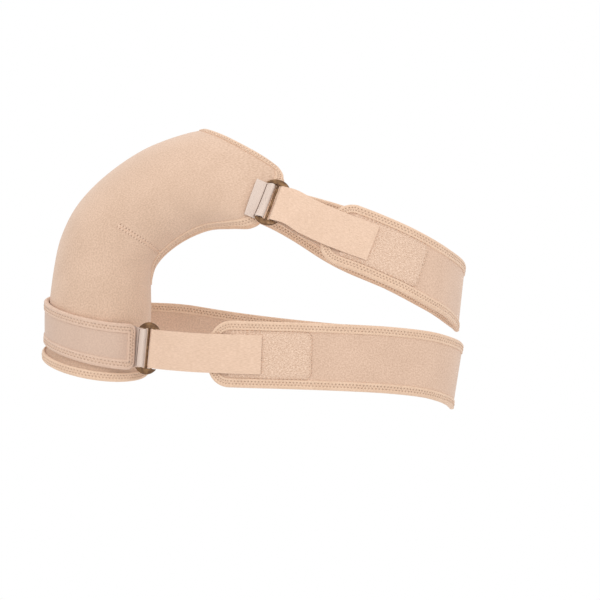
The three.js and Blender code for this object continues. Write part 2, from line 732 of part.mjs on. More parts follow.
function patchSolid(strip, start) {
  const end = start + patchLength;
  const corner = [20, 50, 90].map((turn) => ({
    length: end - patchCorner * (1 - Math.cos(radians(turn))),
    half: patchWidth / 2 - patchCorner * (1 - Math.sin(radians(turn))),
  })).reverse();
  const body = strip.lengthsBetween(start, end - patchCorner).slice(0, -1)
    .map((length) => ({ length, half: patchWidth / 2 }));
  const stops = [...body, ...corner, { length: end, half: patchWidth / 2 - patchCorner }];
  const columns = [1, 0, -1];
  const base = bandHigh + clearance;
  const points = stops.map(({ length, half }) => columns.map((share) => strip.at(length, share * half, base)));
  const tops = stops.map(({ length, half }) => columns.map((share) => strip.at(length, share * half, base + 1)));
  const normals = tops.map((row, i) => row.map((p, j) => p.clone().sub(points[i][j])));
  return sheet({ points, normals }, 0, patchWall);
}

// One body of several that overlap
function joined(geometries) {
  const solids = geometries.map((geometry) => {
    const bare = geometry.clone().deleteAttribute('normal').deleteAttribute('uv');
    const merged = mergeVertices(bare, 1e-4);
    const vertProperties = new Float32Array(merged.getAttribute('position').array);
    const triVerts = new Uint32Array(merged.getIndex().array);
    return new wasm.Manifold(new wasm.Mesh({ numProp: 3, vertProperties, triVerts }));
  });
  const mesh = solids.reduce((sum, next) => sum.add(next)).getMesh();
  const geometry = new THREE.BufferGeometry();
  geometry.setAttribute('position', new THREE.Float32BufferAttribute(mesh.vertProperties, 3));
  geometry.setIndex([...mesh.triVerts]);
  const faceted = geometry.toNonIndexed();
  faceted.computeVertexNormals();
  return faceted;
}

// Three bars between two plates with domed outer edges
function slideGeometry() {
  const inner = slideSpan / 2;
  const radius = (plateHalf ** 2 + plateRise ** 2) / (2 * plateRise);
  const spread = Math.asin(plateHalf / radius);
  const shape = new THREE.Shape();
  shape.absarc(0, inner + plateRise - radius, radius, Math.PI / 2 - spread, Math.PI / 2 + spread, false);
  const bevel = slideWall / 6;
  const plate = new THREE.ExtrudeGeometry(shape, {
    depth: slideWall - 2 * bevel,
    curveSegments: 12,
    bevelThickness: bevel,
    bevelSize: bevel,
    bevelOffset: -bevel,
    bevelSegments: 1,
  }).translate(0, 0, bevel - slideWall / 2);
  const bars = [-barPitch, 0, barPitch].map((place) => {
    const bar = new THREE.CylinderGeometry(barWidth / 2, barWidth / 2, slideSpan + plateRise / 2, 10);
    return bar.translate(place, 0, 0);
  });
  return joined([plate, plate.clone().rotateZ(Math.PI), ...bars]);
}

const finishes = {
  neoprene: { color: 0xe6c7b2, roughness: 0.95, metalness: 0 },
  bandNeoprene: { color: 0xe0c1a8, roughness: 0.95, metalness: 0 },
  binding: { color: 0xf0cdaf, roughness: 0.9, metalness: 0 },
  elastic: { color: 0xeecdb5, roughness: 0.85, metalness: 0 },
  webbing: { color: 0xddc9bd, roughness: 0.85, metalness: 0 },
  pile: { color: 0xe9c9b1, roughness: 1, metalness: 0 },
  brass: { color: 0x785a3c, roughness: 0.4, metalness: 0.9 },
};

const brace = new THREE.Group();

function add(name, geometry, finish) {
  const mesh = new THREE.Mesh(geometry, new THREE.MeshStandardMaterial(finishes[finish]));
  mesh.name = name;
  brace.add(mesh);
  return mesh;
}

function addSlide(name, frame) {
  const mesh = add(name, slideGeometry(), 'brass');
  mesh.position.copy(along(frame.origin, frame.n, slideHeight));
  mesh.quaternion.setFromRotationMatrix(new THREE.Matrix4().makeBasis(frame.t, frame.v, frame.n));
}

add('shoulder_shell', shellGeometry, 'neoprene');
add('cap_binding', foldedTape(capEdgeStops(), -shellWall, 0, true), 'binding');
add('cuff_binding', foldedTape(hemStops(), -shellWall, 0, true), 'binding');
add('arm_band', sheet(armBandGrid(), armBandLow, armBandHigh), 'bandNeoprene');
add('arm_band_binding', foldedTape(armBandTapeStops(), armBandLow, armBandHigh, false), 'binding');
addSlide('arm_slide', lowerSlide);
addSlide('shoulder_slide', upperSlide);

add('arm_tab', webbing(armTabStrip(), tabLine(armTabStrip()), tabWidth, tabWall), 'webbing');
add('shoulder_tab', webbing(shoulderTabStrip(), tabLine(shoulderTabStrip()), tabWidth, tabWall), 'webbing');

const underBand = bandLow - clearance - tapeWall; // lowest layer at a band's rear end
for (const [name, slide, table, sizes, seatHeight] of [
  ['lower', lowerSlide, lowerPath, lower, armBandHigh + overBinding + clearance],
  ['upper', upperSlide, upperPath, upper, overBinding],
]) {
  const frames = chestFrames(slide, table);
  const rear = frames.at(-1).origin;
  const isSewn = ({ origin }) => origin.distanceTo(rear) < seamOverlap;
  const onCarrier = settleOn(shellGeometry, seatHeight + seat - underBand, isSewn);
  const settle = (points, frame) => (frame.origin.y > 0 ? onCarrier(points, frame) : points);
  const strip = stripFrom(frames, bandHalf, settle);
  const end = strip.rows.at(-1).length - 1;
  const stops = bandStops(strip, sizes.bandStart, end);
  add(`${name}_strap`, webbing(strip, strapLine(strip, sizes), strapWidth, strapWall), 'elastic');
  add(`${name}_band`, bandSolid(strip, stops), 'bandNeoprene');
  add(`${name}_band_binding`, bandTape(strip, stops), 'binding');
  add(`${name}_patch`, patchSolid(strip, sizes.patchStart), 'pile');
}

// The origin lies inside the cap, on top of the shoulder
const topRow = shell.places.indexOf(rowOf('chest'));
const topColumn = (shell.points[0].length - 1) / 2;
const shoulderTop = node(topRow, topColumn);
brace.position.copy(along(shoulderTop.p, shoulderTop.n, -shellWall)).negate();
const model = new THREE.Group();
model.add(brace);

export default model;
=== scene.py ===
import math
from collections import namedtuple

import bmesh
import bpy
import numpy as np
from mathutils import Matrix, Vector
from mathutils.bvhtree import BVHTree


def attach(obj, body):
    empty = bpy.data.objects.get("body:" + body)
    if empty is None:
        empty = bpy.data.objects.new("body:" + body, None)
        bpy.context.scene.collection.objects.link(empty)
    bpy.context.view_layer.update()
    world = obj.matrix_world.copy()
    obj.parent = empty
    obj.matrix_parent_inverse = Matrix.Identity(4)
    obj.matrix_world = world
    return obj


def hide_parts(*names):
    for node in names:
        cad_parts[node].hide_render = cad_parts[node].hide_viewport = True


# The looks of a shoulder brace worn on the right shoulder. Shapes are worked out in millimetres from the
# body's midline, armpit level and middle depth, and come out in metres from the inner face of the cap.

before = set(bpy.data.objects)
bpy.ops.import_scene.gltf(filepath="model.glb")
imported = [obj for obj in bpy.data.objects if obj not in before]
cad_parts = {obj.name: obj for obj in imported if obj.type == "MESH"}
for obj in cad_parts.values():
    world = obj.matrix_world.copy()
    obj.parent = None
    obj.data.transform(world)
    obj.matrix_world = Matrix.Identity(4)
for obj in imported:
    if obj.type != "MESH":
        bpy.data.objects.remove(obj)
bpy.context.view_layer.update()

# Body sizes that the brace is cut for
SHOULDER_REACH = 274
SHOULDER_RISE = 157.5
SLEEVE_DROP = 107
CAP_HALF_DEPTH = 88
ARM_HALF_DEPTH = 0.65 * CAP_HALF_DEPTH
ARM_SET_BACK = -12
CAP_SET_BACK = 0.4
CHEST_HALF = 153
CHEST_FRONT = 112
CHEST_BACK = 107

# Sheets, bands and webbing
SHELL_WALL = 3
BAND_WIDTH = 66
BAND_WALL = 3
BAND_CORNER = 21
ARM_BAND_WIDTH = 42
ARM_BAND_WALL = 3
ARM_BAND_CORNER = 7
STRAP_WIDTH = 40
STRAP_WALL = 1.5
TAB_WIDTH = 39.5
TAB_WALL = 1.2
PATCH_WIDTH = 48
PATCH_LENGTH = 83
PATCH_WALL = 1.5
PATCH_CORNER = 7
TAPE_WIDTH = 8.5
TAPE_WALL = 0.8
CLEARANCE = 0.3

# Three-bar slide
BAR_WIDTH = 2.6
BAR_PITCH = 6
PLATE_HALF = 12.5
PLATE_RISE = 6.5
SLIDE_WALL = 2.6
SLIDE_SPAN = STRAP_WIDTH + 1.2
LOWER_PULL = (0.866, -0.5, -0.08)
UPPER_PULL = (0.95, -0.12, -0.29)
LOWER_SLIDE_REACH = 25
LOWER_SLIDE_TILT = 0.1
UPPER_SLIDE_LEAN = 26
UPPER_SLIDE_REACH = 4
UPPER_SLIDE_BELOW_TIP = 0.42
SLIDE_LEAD = 15

# Lengths along the two chest bands, from the slide's middle bar
Lengths = namedtuple("Lengths", "band_start patch_start free_end fixed_end")
LOWER = Lengths(73, 93, 126, 98)
UPPER = Lengths(65, 85, 112, 90)
REAR_WIDTH = 42
NARROWING = 150
TAB_SEWN = 11
SEAM_OVERLAP = 34
REAR_TRIM = 1
ARM_BAND_FRONT = 0.72
ARM_BAND_BACK = 0.6
ARM_BAND_HEIGHT = -0.4
ARM_BAND_FALL = 8
ARM_BAND_LIFT = 3.2
SEAT = 0.7

# Heights of a chest band's layers over the body
STRAP_UNDER = 1.1
WEBBING_GAP = 0.5
BAND_LOW = STRAP_UNDER + STRAP_WALL + WEBBING_GAP + TAPE_WALL + CLEARANCE
BAND_HIGH = BAND_LOW + BAND_WALL
PATCH_HIGH = BAND_HIGH + CLEARANCE + PATCH_WALL
STRAP_OVER = PATCH_HIGH + WEBBING_GAP
SLIDE_HEIGHT = 5
OVER_BINDING = 2 * CLEARANCE + TAPE_WALL
ARM_BAND_LOW = SEAT + TAPE_WALL + CLEARANCE
ARM_BAND_HIGH = ARM_BAND_LOW + ARM_BAND_WALL

# Stitches
STITCH = 3.5
STITCH_ROWS = (2.9, 5.4)  # from a bound edge
THREAD = 0.33
DART_HALF = 2.7
DART_STITCHES = 1.9  # from the dart's middle
DART_START = (1.78, -0.55)  # sections above the armpit, and way round the shell
DART_END = (1.15, -0.95)
DART_HEIGHTS = (-0.6, 0.15)  # of its underside and face over the shell
DART_LIFT = 0.2  # of its thread

# Sections of the sleeve and cap, from the hem to the neck edge. Crest and edge are shares of the reach and
# of the rise or drop, sweep and tilt are degrees, and front and back are shares of the cap's half depth.
Section = namedtuple("Section", "name crest edge sweep front back tilt bow")
SECTIONS = [Section(*row) for row in (
    ("hem", (-1, -0.755), (-0.602, -0.91), 180, 0.65, 0.65, 13, 0),
    ("flare", (-1, -0.69), (-0.6, -0.83), 180, 0.65, 0.65, 13, 0),
    ("squeeze", (-0.979, -0.625), (-0.597, -0.76), 180, 0.63, 0.63, 13, 0),
    ("sleeve", (-0.975, -0.2), (-0.588, -0.31), 180, 0.635, 0.635, 11, 0),
    ("armpit", (-0.95, 0.167), (-0.586, 0.02), 180, 0.69, 0.69, 3, 0),
    ("fold", (-0.921, 0.333), (-0.55, 0.15), 160, 0.74, 0.76, 0, 0),
    ("shoulder", (-0.874, 0.487), (-0.471, 0.263), 146, 0.79, 0.83, 0, 0),
    ("deltoid", (-0.805, 0.627), (-0.372, 0.34), 131, 0.86, 0.92, 0, 0),
    ("blade", (-0.716, 0.757), (-0.28, 0.353), 118, 0.93, 1, 0, 0),
    ("chest", (-0.621, 0.863), (-0.211, 0.357), 106, 0.97, 1.05, 0, 0),
    ("tip low", (-0.533, 0.93), (-0.165, 0.413), 99, 0.95, 1.06, 0, 0.004),
    ("tip", (-0.452, 0.975), (-0.12, 0.55), 95, 0.85, 1.02, 0, 0.007),
    ("corner", (-0.405, 0.993), (-0.084, 0.667), 93, 0.7, 0.96, 0, 0.01),
    ("neck", (-0.383, 1), (-0.103, 0.737), 92, 0.63, 0.92, 0, 0.012),
)]

# Paths of the chest bands' middle lines from the slide to the rear. Across is a share of the chest's half
# width, depth of its front or back depth, height of the rise or drop, and lean is in degrees.
Step = namedtuple("Step", "across depth height lean")
LOWER_PATH = [Step(*row) for row in (
    (-0.7, -0.855, -0.7, 0),
    (-0.46, -0.945, -0.715, 2),
    (-0.1, -1, -0.73, 3),
    (0.24, -0.99, -0.747, 2),
    (0.55, -0.9, -0.772, 0),
    (0.8, -0.7, -0.815, -4),
    (0.955, -0.4, -0.885, -8),
    (1, -0.04, -0.945, -9),
    (0.97, 0.33, -0.91, -7),
    (0.84, 0.68, -0.85, -3),
    (0.58, 0.92, -0.8, 0),
    (0.24, 1, -0.76, 2),
    (-0.15, 1, -0.705, 3),
    (-0.55, 0.91, -0.63, 2),
    (-0.95, 0.75, -0.53, 0),
    (-1.28, 0.57, -0.44, 0),
    (-1.52, 0.43, -0.39, 0),
    (-1.67, 0.28, -0.39, 0),
)]
UPPER_PATH = [Step(*row) for row in (
    (0.02, -0.84, 0.383, 23),
    (0.24, -0.915, 0.292, 19),
    (0.45, -0.925, 0.213, 16),
    (0.68, -0.86, 0.113, 10),
    (0.88, -0.67, 0.005, 2),
    (0.99, -0.36, -0.1, -5),
    (1.025, -0.02, -0.185, -6),
    (1, 0.33, -0.15, -3),
    (0.87, 0.68, 0, 0),
    (0.62, 0.91, 0.14, 5),
    (0.34, 0.97, 0.26, 9),
    (0.05, 0.93, 0.39, 9),
    (-0.24, 0.865, 0.51, 8),
    (-0.48, 0.8, 0.62, 8),
)]


def row_of(name):
    return [section.name for section in SECTIONS].index(name)


ARMPIT = row_of("armpit")
TOP = len(SECTIONS) - 1


def unit(v):
    return v / np.maximum(np.linalg.norm(v, axis=-1, keepdims=True), 1e-9)


def smoothstep(x, low, high):
    t = np.clip((x - low) / (high - low), 0, 1)
    return t * t * (3 - 2 * t)


def height(share):
    return share * (SHOULDER_RISE if share > 0 else SLEEVE_DROP)


def running_length(points):
    return np.concatenate([[0], np.cumsum(np.linalg.norm(np.diff(points, axis=0), axis=1))])


def grid(along, across):
    """Pairs of a length along and a distance across, for each of both."""
    return np.stack(np.meshgrid(along, across, indexing="ij"), axis=-1)


def points_and_normals(pairs):
    """Two arrays from a list of points with their normals, or from rows of such."""
    pairs = np.array(pairs)
    return pairs[..., 0, :], pairs[..., 1, :]


def between(rows, place):
    """A row of numbers between a table's rows, on a smooth curve through them."""
    last = len(rows) - 1
    index = min(int(place), last - 1)
    before, here, after, beyond = (rows[min(max(index + k, 0), last)] for k in (-1, 0, 1, 2))
    rise, run, step = (after - before) / 2, (beyond - here) / 2, after - here
    t = place - index
    return here + t * step + t * (1 - t) * ((1 - t) * (rise - step) - t * (run - step))


# The shell

SECTION_ROWS = np.array([
    (SHOULDER_REACH * s.crest[0], height(s.crest[1]), SHOULDER_REACH * s.edge[0], height(s.edge[1]),
     math.radians(s.sweep), CAP_HALF_DEPTH * s.front, CAP_HALF_DEPTH * s.back, s.tilt, SHOULDER_REACH * s.bow)
    for s in SECTIONS
])


def shell_row(place, ways):
    """Points of the outer face. Way is 0 on the crest, -1 at the front edge and 1 at the back edge."""
    values = between(SECTION_ROWS, place)
    crest, edge = values[0:2], values[2:4]
    sweep, front, back, tilt, bow = values[4:]
    sweep = math.pi if place <= ARMPIT else min(sweep, math.pi)
    middle = ARM_SET_BACK * (1 + (CAP_SET_BACK - 1) * place / TOP * min(place / ARMPIT, 1))
    ways = np.asarray(ways, float)
    turn = np.abs(ways) * sweep
    share = (1 - np.cos(turn)) / (1 - math.cos(sweep))
    depth = np.where(ways < 0, -front, back) * np.sin(turn)
    run_x, run_z = edge - crest
    bulge = bow * (1 - np.abs(2 * share - 1) ** 3) / math.hypot(run_x, run_z)
    slope = math.tan(math.radians(tilt))
    x = crest[0] + run_x * share - run_z * bulge
    z = crest[1] + run_z * share + run_x * bulge + slope * depth
    return np.stack([x, middle + depth, z], axis=-1)


def shell_slopes(place, ways):
    """How the shell's points move with place and with way."""
    step = 0.01
    ways = np.asarray(ways, float)
    up = (shell_row(place + step, ways) - shell_row(place - step, ways)) / (2 * step)
    round_it = (shell_row(place, ways + step) - shell_row(place, ways - step)) / (2 * step)
    return up, round_it


def shell_at(place, way):
    up, round_it = shell_slopes(place, [way])
    return shell_row(place, [way])[0], unit(np.cross(up[0], round_it[0]))


def shell_inset(place, way, direction, distance):
    """The shell's point and normal at a distance along its surface from one of its points."""
    if distance == 0:
        return shell_at(place, way)
    up, round_it = shell_slopes(place, [way])
    steps = np.linalg.lstsq(np.stack([up[0], round_it[0]], axis=1), direction * distance, rcond=None)[0]
    start = shell_row(place, [way])[0]
    for _ in range(3):
        steps *= distance / np.linalg.norm(shell_row(place + steps[0], [way + steps[1]])[0] - start)
    return shell_at(place + steps[0], way + steps[1])


def shell_grid(rows_each=8, columns=168):
    ways = np.linspace(-1, 1, columns + 1)
    places = np.linspace(0, TOP, rows_each * TOP + 1)
    points = np.array([shell_row(place, ways) for place in places])
    normals = np.array([unit(np.cross(*shell_slopes(place, ways))) for place in places])
    seam = ARMPIT * rows_each
    points[:seam + 1, -1] = points[:seam + 1, 0]
    normals[:seam + 1, -1] = normals[:seam + 1, 0]
    return points, normals, seam


ORIGIN_POINT, ORIGIN_NORMAL = shell_at(row_of("chest"), 0)
ORIGIN = ORIGIN_POINT - SHELL_WALL * ORIGIN_NORMAL


def metres(points):
    return (np.asarray(points) - ORIGIN) / 1000


# Meshes

def make(name, vertices, faces, uvs, material, sharp=40):
    """A piece from points in millimetres. The uvs are millimetres along and across."""
    mesh = bpy.data.meshes.new(name)
    mesh.from_pydata(metres(vertices).tolist(), [], faces)
    layer = mesh.uv_layers.new(name="UVMap")
    corners = np.empty(len(mesh.loops), dtype=np.int32)
    mesh.loops.foreach_get("vertex_index", corners)
    layer.data.foreach_set("uv", np.asarray(uvs, dtype=np.float32)[corners].ravel())
    shape = bmesh.new()
    shape.from_mesh(mesh)
    bmesh.ops.remove_doubles(shape, verts=shape.verts, dist=1e-6)
    return finished(shape, mesh, material, sharp)


def finished(shape, mesh, material, sharp):
    """The smooth-shaded piece of a shape, in a mesh that gives it its name."""
    bmesh.ops.recalc_face_normals(shape, faces=shape.faces)
    shape.to_mesh(mesh)
    shape.free()
    mesh.polygons.foreach_set("use_smooth", [True] * len(mesh.polygons))
    mesh.set_sharp_from_angle(angle=math.radians(sharp))
    mesh.materials.append(material)
    return linked(mesh)


def linked(data):
    """The object of a mesh, light or camera, in the scene."""
    made = bpy.data.objects.new(data.name, data)
    bpy.context.scene.collection.objects.link(made)
    return made


def lattice(rows, columns, wrap=False):
    """Four-cornered faces over a grid of points in row order."""
    faces = []
    for i in range(rows - 1):
        for j in range(columns if wrap else columns - 1):
            k = (j + 1) % columns
            faces.append((i * columns + j, i * columns + k, (i + 1) * columns + k, (i + 1) * columns + j))
    return faces


def sheet(name, points, normals, low, high, uvs, material, closed_rows=0):
    """A sheet between two heights over a grid, closed at its borders. Its closed rows run all the way round."""
    rows, columns = points.shape[:2]
    top = (points + high * normals).reshape(-1, 3)
    foot = (points + low * normals).reshape(-1, 3)
    count = rows * columns
    cells = lattice(rows, columns)
    faces = cells + [tuple(count + v for v in reversed(cell)) for cell in cells]
    index = np.arange(count).reshape(rows, columns)
    borders = [index[0], index[-1, ::-1], index[closed_rows:, 0][::-1], index[closed_rows:, -1]]
    for border in borders:
        faces += [(a, b, count + b, count + a) for a, b in zip(border.tolist(), border[1:].tolist())]
    flat = uvs.reshape(-1, 2)
    return make(name, np.concatenate([top, foot]), faces, np.concatenate([flat, flat]), material)


def tube(name, rings, uvs, material, closed=False, sharp=40):
    """Rings of points joined into one body, with flat ends unless it closes on itself."""
    rings = np.asarray(rings)
    if closed:
        # The first ring again, a millimetre further along
        rings = np.concatenate([rings, rings[:1]])
        uvs = np.concatenate([uvs, uvs[:1]])
        uvs[-1, :, 0] = uvs[-2, :, 0] + 1
    rows, columns = rings.shape[:2]
    faces = lattice(rows, columns, wrap=True)
    if not closed:
        faces += [tuple(range(columns)), tuple(range((rows - 1) * columns, rows * columns))]
    return make(name, rings.reshape(-1, 3), faces, uvs.reshape(-1, 2), material, sharp)


# Tape folded over an edge: each stop gives the sheet's point and normal at a distance inside its edge

# Distance inside the edge and height over the sheet of the tape's face, pressed down at its stitches
TAPE_FACE = [(8.5, 0.05), (8.35, 0.7), (7.7, 0.98), (6.5, 1.05), (5.9, 0.88), (5.4, 0.7), (4.9, 0.9),
             (4.15, 1.05), (3.4, 0.9), (2.9, 0.72), (2.4, 0.92), (1.6, 1.15), (0.9, 1.22)]
NOSE = np.radians(np.linspace(70, -70, 7))
NOSE_REACH = 1.95
NOSE_RISE = 1.15
NOSE_SET_BACK = 0.8
LINER_REACH = 0.15  # of the tape's inner face past the edge, and its heights over the sheet
LINER_NEAR = 0.05
LINER_FAR = 0.02


def tape_ring(stop, low, high):
    middle, half = (low + high) / 2, (high - low) / 2
    reached = [(d, lift, *stop(d)) for d, lift in TAPE_FACE]
    edge, normal = stop(0)
    inner, _ = stop(1.5)
    out = unit(edge - inner)
    top = [p + n * (high + lift) for _, lift, p, n in reached]
    nose = [edge + out * (NOSE_REACH * math.cos(a) - NOSE_SET_BACK)
            + normal * (middle + (half + NOSE_RISE) * math.sin(a)) for a in NOSE]
    bottom = [p + n * (low - lift) for _, lift, p, n in reversed(reached)]
    near = edge + out * LINER_REACH
    far, far_normal = reached[0][2:]
    inside = [far + far_normal * (low - LINER_FAR), near + normal * (low - LINER_NEAR),
              near + normal * (high + LINER_NEAR), far + far_normal * (high + LINER_FAR)]
    return [*top, *nose, *bottom, *inside]


TAPE_ACROSS = ([d for d, _ in TAPE_FACE] + list(-np.cos(NOSE)) + [d for d, _ in reversed(TAPE_FACE)]
               + [TAPE_WIDTH, 0, 0, TAPE_WIDTH])


def folded_tape(name, stops, low, high, closed, node, material="binding"):
    """The tape and its zigzag of thread, as two pieces."""
    rings = np.array([tape_ring(stop, low, high) for stop in stops])
    edge = np.array([stop(0)[0] for stop in stops])
    along = running_length(edge)
    tape = tube(name, rings, grid(along, TAPE_ACROSS), MATERIALS[material], closed, sharp=80)
    place_piece(tape, "binding", node)
    face = [d for d, _ in TAPE_FACE]
    lines = [rings[:, face.index(row)] for row in STITCH_ROWS]
    lifted = [lines[0] - rings[:, face.index(2.4)], lines[1] - rings[:, face.index(5.9)]]
    normals = unit(np.cross(np.gradient(edge, axis=0), lifted[1] - lifted[0]))
    outward = np.sign(np.sum(normals * (rings[:, 0] - rings[:, -4]), axis=1))[:, None]
    threads = zigzag(f"{name}_stitches", along, lines, normals * outward)
    place_piece(threads, "binding")
    return tape, threads


def sampled(places, along, line):
    """A line's points at places along it."""
    return np.stack([np.interp(places, along, column) for column in line.T], axis=-1)


def zigzag(name, along, lines, normals, pitch=STITCH, rise=0.32, radius=THREAD):
    """Thread that runs to and fro between two lines, and dips into the cloth at each end."""
    per_stitch = 10
    dip = 0.25
    u = np.arange(pitch / 2, along[-1] - pitch / 2, pitch / per_stitch)
    phase = u / pitch % 1
    share = np.abs(2 * phase - 1)[:, None]
    arch = np.abs(np.sin(2 * math.pi * phase))
    middle = sampled(u, along, lines[0]) * share + sampled(u, along, lines[1]) * (1 - share)
    middle += unit(sampled(u, along, normals)) * (rise * (arch - dip))[:, None]
    return thread(name, middle, radius)


def thread(name, points, radius, material="thread", sides=5):
    """A round tube along points."""
    forward = unit(np.gradient(points, axis=0))
    aside = unit(np.cross(forward, np.roll(forward, 1, axis=1) + (0.3, 0.1, 0.7)))
    up = np.cross(forward, aside)
    turns = np.linspace(0, 2 * math.pi, sides, endpoint=False)
    ring = np.cos(turns)[None, :, None] * aside[:, None] + np.sin(turns)[None, :, None] * up[:, None]
    uvs = grid(running_length(points), turns * radius)
    return tube(name, points[:, None] + radius * ring, uvs, MATERIALS[material])


def place_piece(piece, slot, *nodes):
    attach(piece, "root")
    if nodes:
        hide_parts(*nodes)


def cap_edge_stops():
    """Round the armhole and the neck edge: up the front, over the neck and down the back."""
    count = 130
    rising = np.linspace(ARMPIT, TOP, count)
    path = [(place, -1.0) for place in rising]
    path += [(TOP, way) for way in np.linspace(-1, 1, count)]
    path += [(place, 1.0) for place in rising[::-1]]
    points, normals = points_and_normals([shell_at(place, way) for place, way in path])
    forward = unit(np.gradient(points.reshape(3, count, 3), axis=1)).reshape(-1, 3)
    inward = np.cross(normals, forward)
    down_sleeve = -unit(shell_slopes(ARMPIT - 0.1, [1.0])[0][0])
    armpit = 3 * count - 1
    extra_stops = {count - 1: 5, 2 * count - 1: 5, armpit: 11}
    stops = []
    for k, (place, way) in enumerate(path):
        stops.append(inset_stop(place, way, inward[k]))
        if k not in extra_stops:
            continue
        after = inward[(k + 1) % len(path)]
        for share in np.linspace(0, 1, extra_stops[k] + 2)[1:-1]:
            turned = inward[k] * (1 - share) + after * share
            if k == armpit:
                turned = turned + down_sleeve * math.sin(math.pi * share)
            stops.append(inset_stop(place, way, unit(turned)))
    return stops


def inset_stop(place, way, direction):
    return lambda distance: shell_inset(place, way, direction, distance)


def hem_stops():
    ways = np.linspace(1, -1, 180, endpoint=False)
    return [inset_stop(0, way, unit(shell_slopes(0, [way])[0][0])) for way in ways]


# The arm band

CREST_PLACES = np.linspace(0, ARMPIT, 400)
CREST_HEIGHTS = np.array([between(SECTION_ROWS, place)[1] for place in CREST_PLACES])
WAY_STEP = 1 / ARM_HALF_DEPTH / math.pi


def arm_band_point(way, rise, lift=0.0):
    """A point and normal on the sleeve, at a rise over the band's middle line."""
    fall = ARM_BAND_FALL * (1 - math.cos(min(way, 0) * math.pi)) / 2
    level = height(ARM_BAND_HEIGHT) - fall + rise
    point, normal = shell_at(float(np.interp(level, CREST_HEIGHTS, CREST_PLACES)), way)
    return point + lift * normal, normal


def arm_surface(reach, rise):
    """The face under the arm band at a reach from its front end."""
    lift = ARM_BAND_LIFT * (1 - smoothstep(reach, TAB_SEWN + 3, TAB_SEWN + 25))
    return arm_band_point(reach * WAY_STEP - ARM_BAND_FRONT, rise, lift)


# Strips along a path

Frame = namedtuple("Frame", "origin t v n")


def frame_of(origin, forward, lean):
    t = unit(np.array(forward, float))
    outward = unit(np.array([t[1], -t[0], 0]))
    upward = np.array([0, 0, math.cos(lean)]) - math.sin(lean) * outward
    v = unit(upward - t * upward.dot(t))
    return Frame(np.array(origin), t, v, np.cross(t, v))


def squared(f):
    v = unit(f.v - f.t * f.v.dot(f.t))
    return Frame(f.origin, f.t, v, np.cross(f.t, v))


def lower_slide_frame():
    end, _ = arm_band_point(-ARM_BAND_FRONT, 0)
    forward = unit(np.array(LOWER_PULL))
    f = frame_of(end + LOWER_SLIDE_REACH * forward, forward, 0)
    return squared(f._replace(v=unit(f.v + (LOWER_SLIDE_TILT, 0, 0))))


def upper_slide_frame():
    tip = shell_row(row_of("tip") - UPPER_SLIDE_BELOW_TIP, [-1])[0]
    f = frame_of(tip, UPPER_PULL, math.radians(UPPER_SLIDE_LEAN))
    return squared(f._replace(origin=tip + UPPER_SLIDE_REACH * f.t + (OVER_BINDING + SEAT + CLEARANCE) * f.n))


class Curve:
    """A smooth curve through points, which turns evenly where they lie unevenly."""

    def __init__(self, points):
        points = np.array(points, float)
        before, after = 2 * points[0] - points[1], 2 * points[-1] - points[-2]
        self.points = np.concatenate([[before], points, [after]])

    def at(self, place):
        i = min(int(place), len(self.points) - 4)
        p0, p1, p2, p3 = self.points[i:i + 4]
        d0, d1, d2 = (np.linalg.norm(b - a) ** 0.5 for a, b in ((p0, p1), (p1, p2), (p2, p3)))
        start = ((p1 - p0) / d0 - (p2 - p0) / (d0 + d1) + (p2 - p1) / d1) * d1
        end = ((p2 - p1) / d1 - (p3 - p1) / (d1 + d2) + (p3 - p2) / d2) * d1
        t = place - i
        return (p1 + start * t + (3 * (p2 - p1) - 2 * start - end) * t ** 2
                + (2 * (p1 - p2) + start + end) * t ** 3)

    def tangent(self, place):
        return unit(self.at(place + 0.002) - self.at(place - 0.002))


def chest_frames(slide, table, per_row=8):
    steps = [(s.across * CHEST_HALF, s.depth * (CHEST_FRONT if s.depth < 0 else CHEST_BACK), height(s.height))
             for s in table]
    curve = Curve([slide.origin, slide.origin + SLIDE_LEAD * slide.t, *steps])
    leans = np.array([0, 0, *(s.lean for s in table)], float)
    frames = [slide, slide._replace(origin=slide.origin + SLIDE_LEAD / 2 * slide.t)]
    for k in range(len(table) * per_row + 1):
        place = 1 + k / per_row
        lean = table[0].lean if place < 2 else between(leans, place)
        f = frame_of(curve.at(place), curve.tangent(place), math.radians(lean))
        if place < 2:
            share = 2 - place
            f = f._replace(v=unit(f.v * (1 - share) + slide.v * share))
        frames.append(f)
    return frames


class Strip:
    """A strip of surface along a path, from rows of points across it at lengths along it."""

    def __init__(self, points, lengths, halves):
        self.points = np.array(points)
        self.lengths = np.array(lengths)
        self.halves = np.array(halves)
        along = np.gradient(self.points, axis=0)
        across = np.gradient(self.points, axis=1)
        self.normals = unit(np.cross(along, across))

    def at(self, length, side, lift=0.0):
        """The point and normal at a length along and a distance across."""
        last = len(self.lengths) - 2
        i = int(np.clip(np.searchsorted(self.lengths, length, side="right") - 1, 0, last))
        share = (length - self.lengths[i]) / (self.lengths[i + 1] - self.lengths[i])
        cells = self.points.shape[1] - 1

        def in_row(grid, row):
            place = (side / self.halves[row] + 1) / 2 * cells
            j = int(np.clip(place, 0, cells - 1))
            return grid[row, j] * (1 - place + j) + grid[row, j + 1] * (place - j)

        point = in_row(self.points, i) * (1 - share) + in_row(self.points, i + 1) * share
        normal = unit(in_row(self.normals, i) * (1 - share) + in_row(self.normals, i + 1) * share)
        return point + lift * normal, normal


STRIP_SHARES = np.linspace(-1, 1, 9)


def row_across(f, half, length=0.0):
    """Points of a strip across a frame, at a length along it."""
    return f.origin + length * f.t + half * STRIP_SHARES[:, None] * f.v


def band_half(length, end):
    narrowed = smoothstep(length, end - NARROWING, end - SEAM_OVERLAP)
    return (BAND_WIDTH + (REAR_WIDTH - BAND_WIDTH) * narrowed) / 2


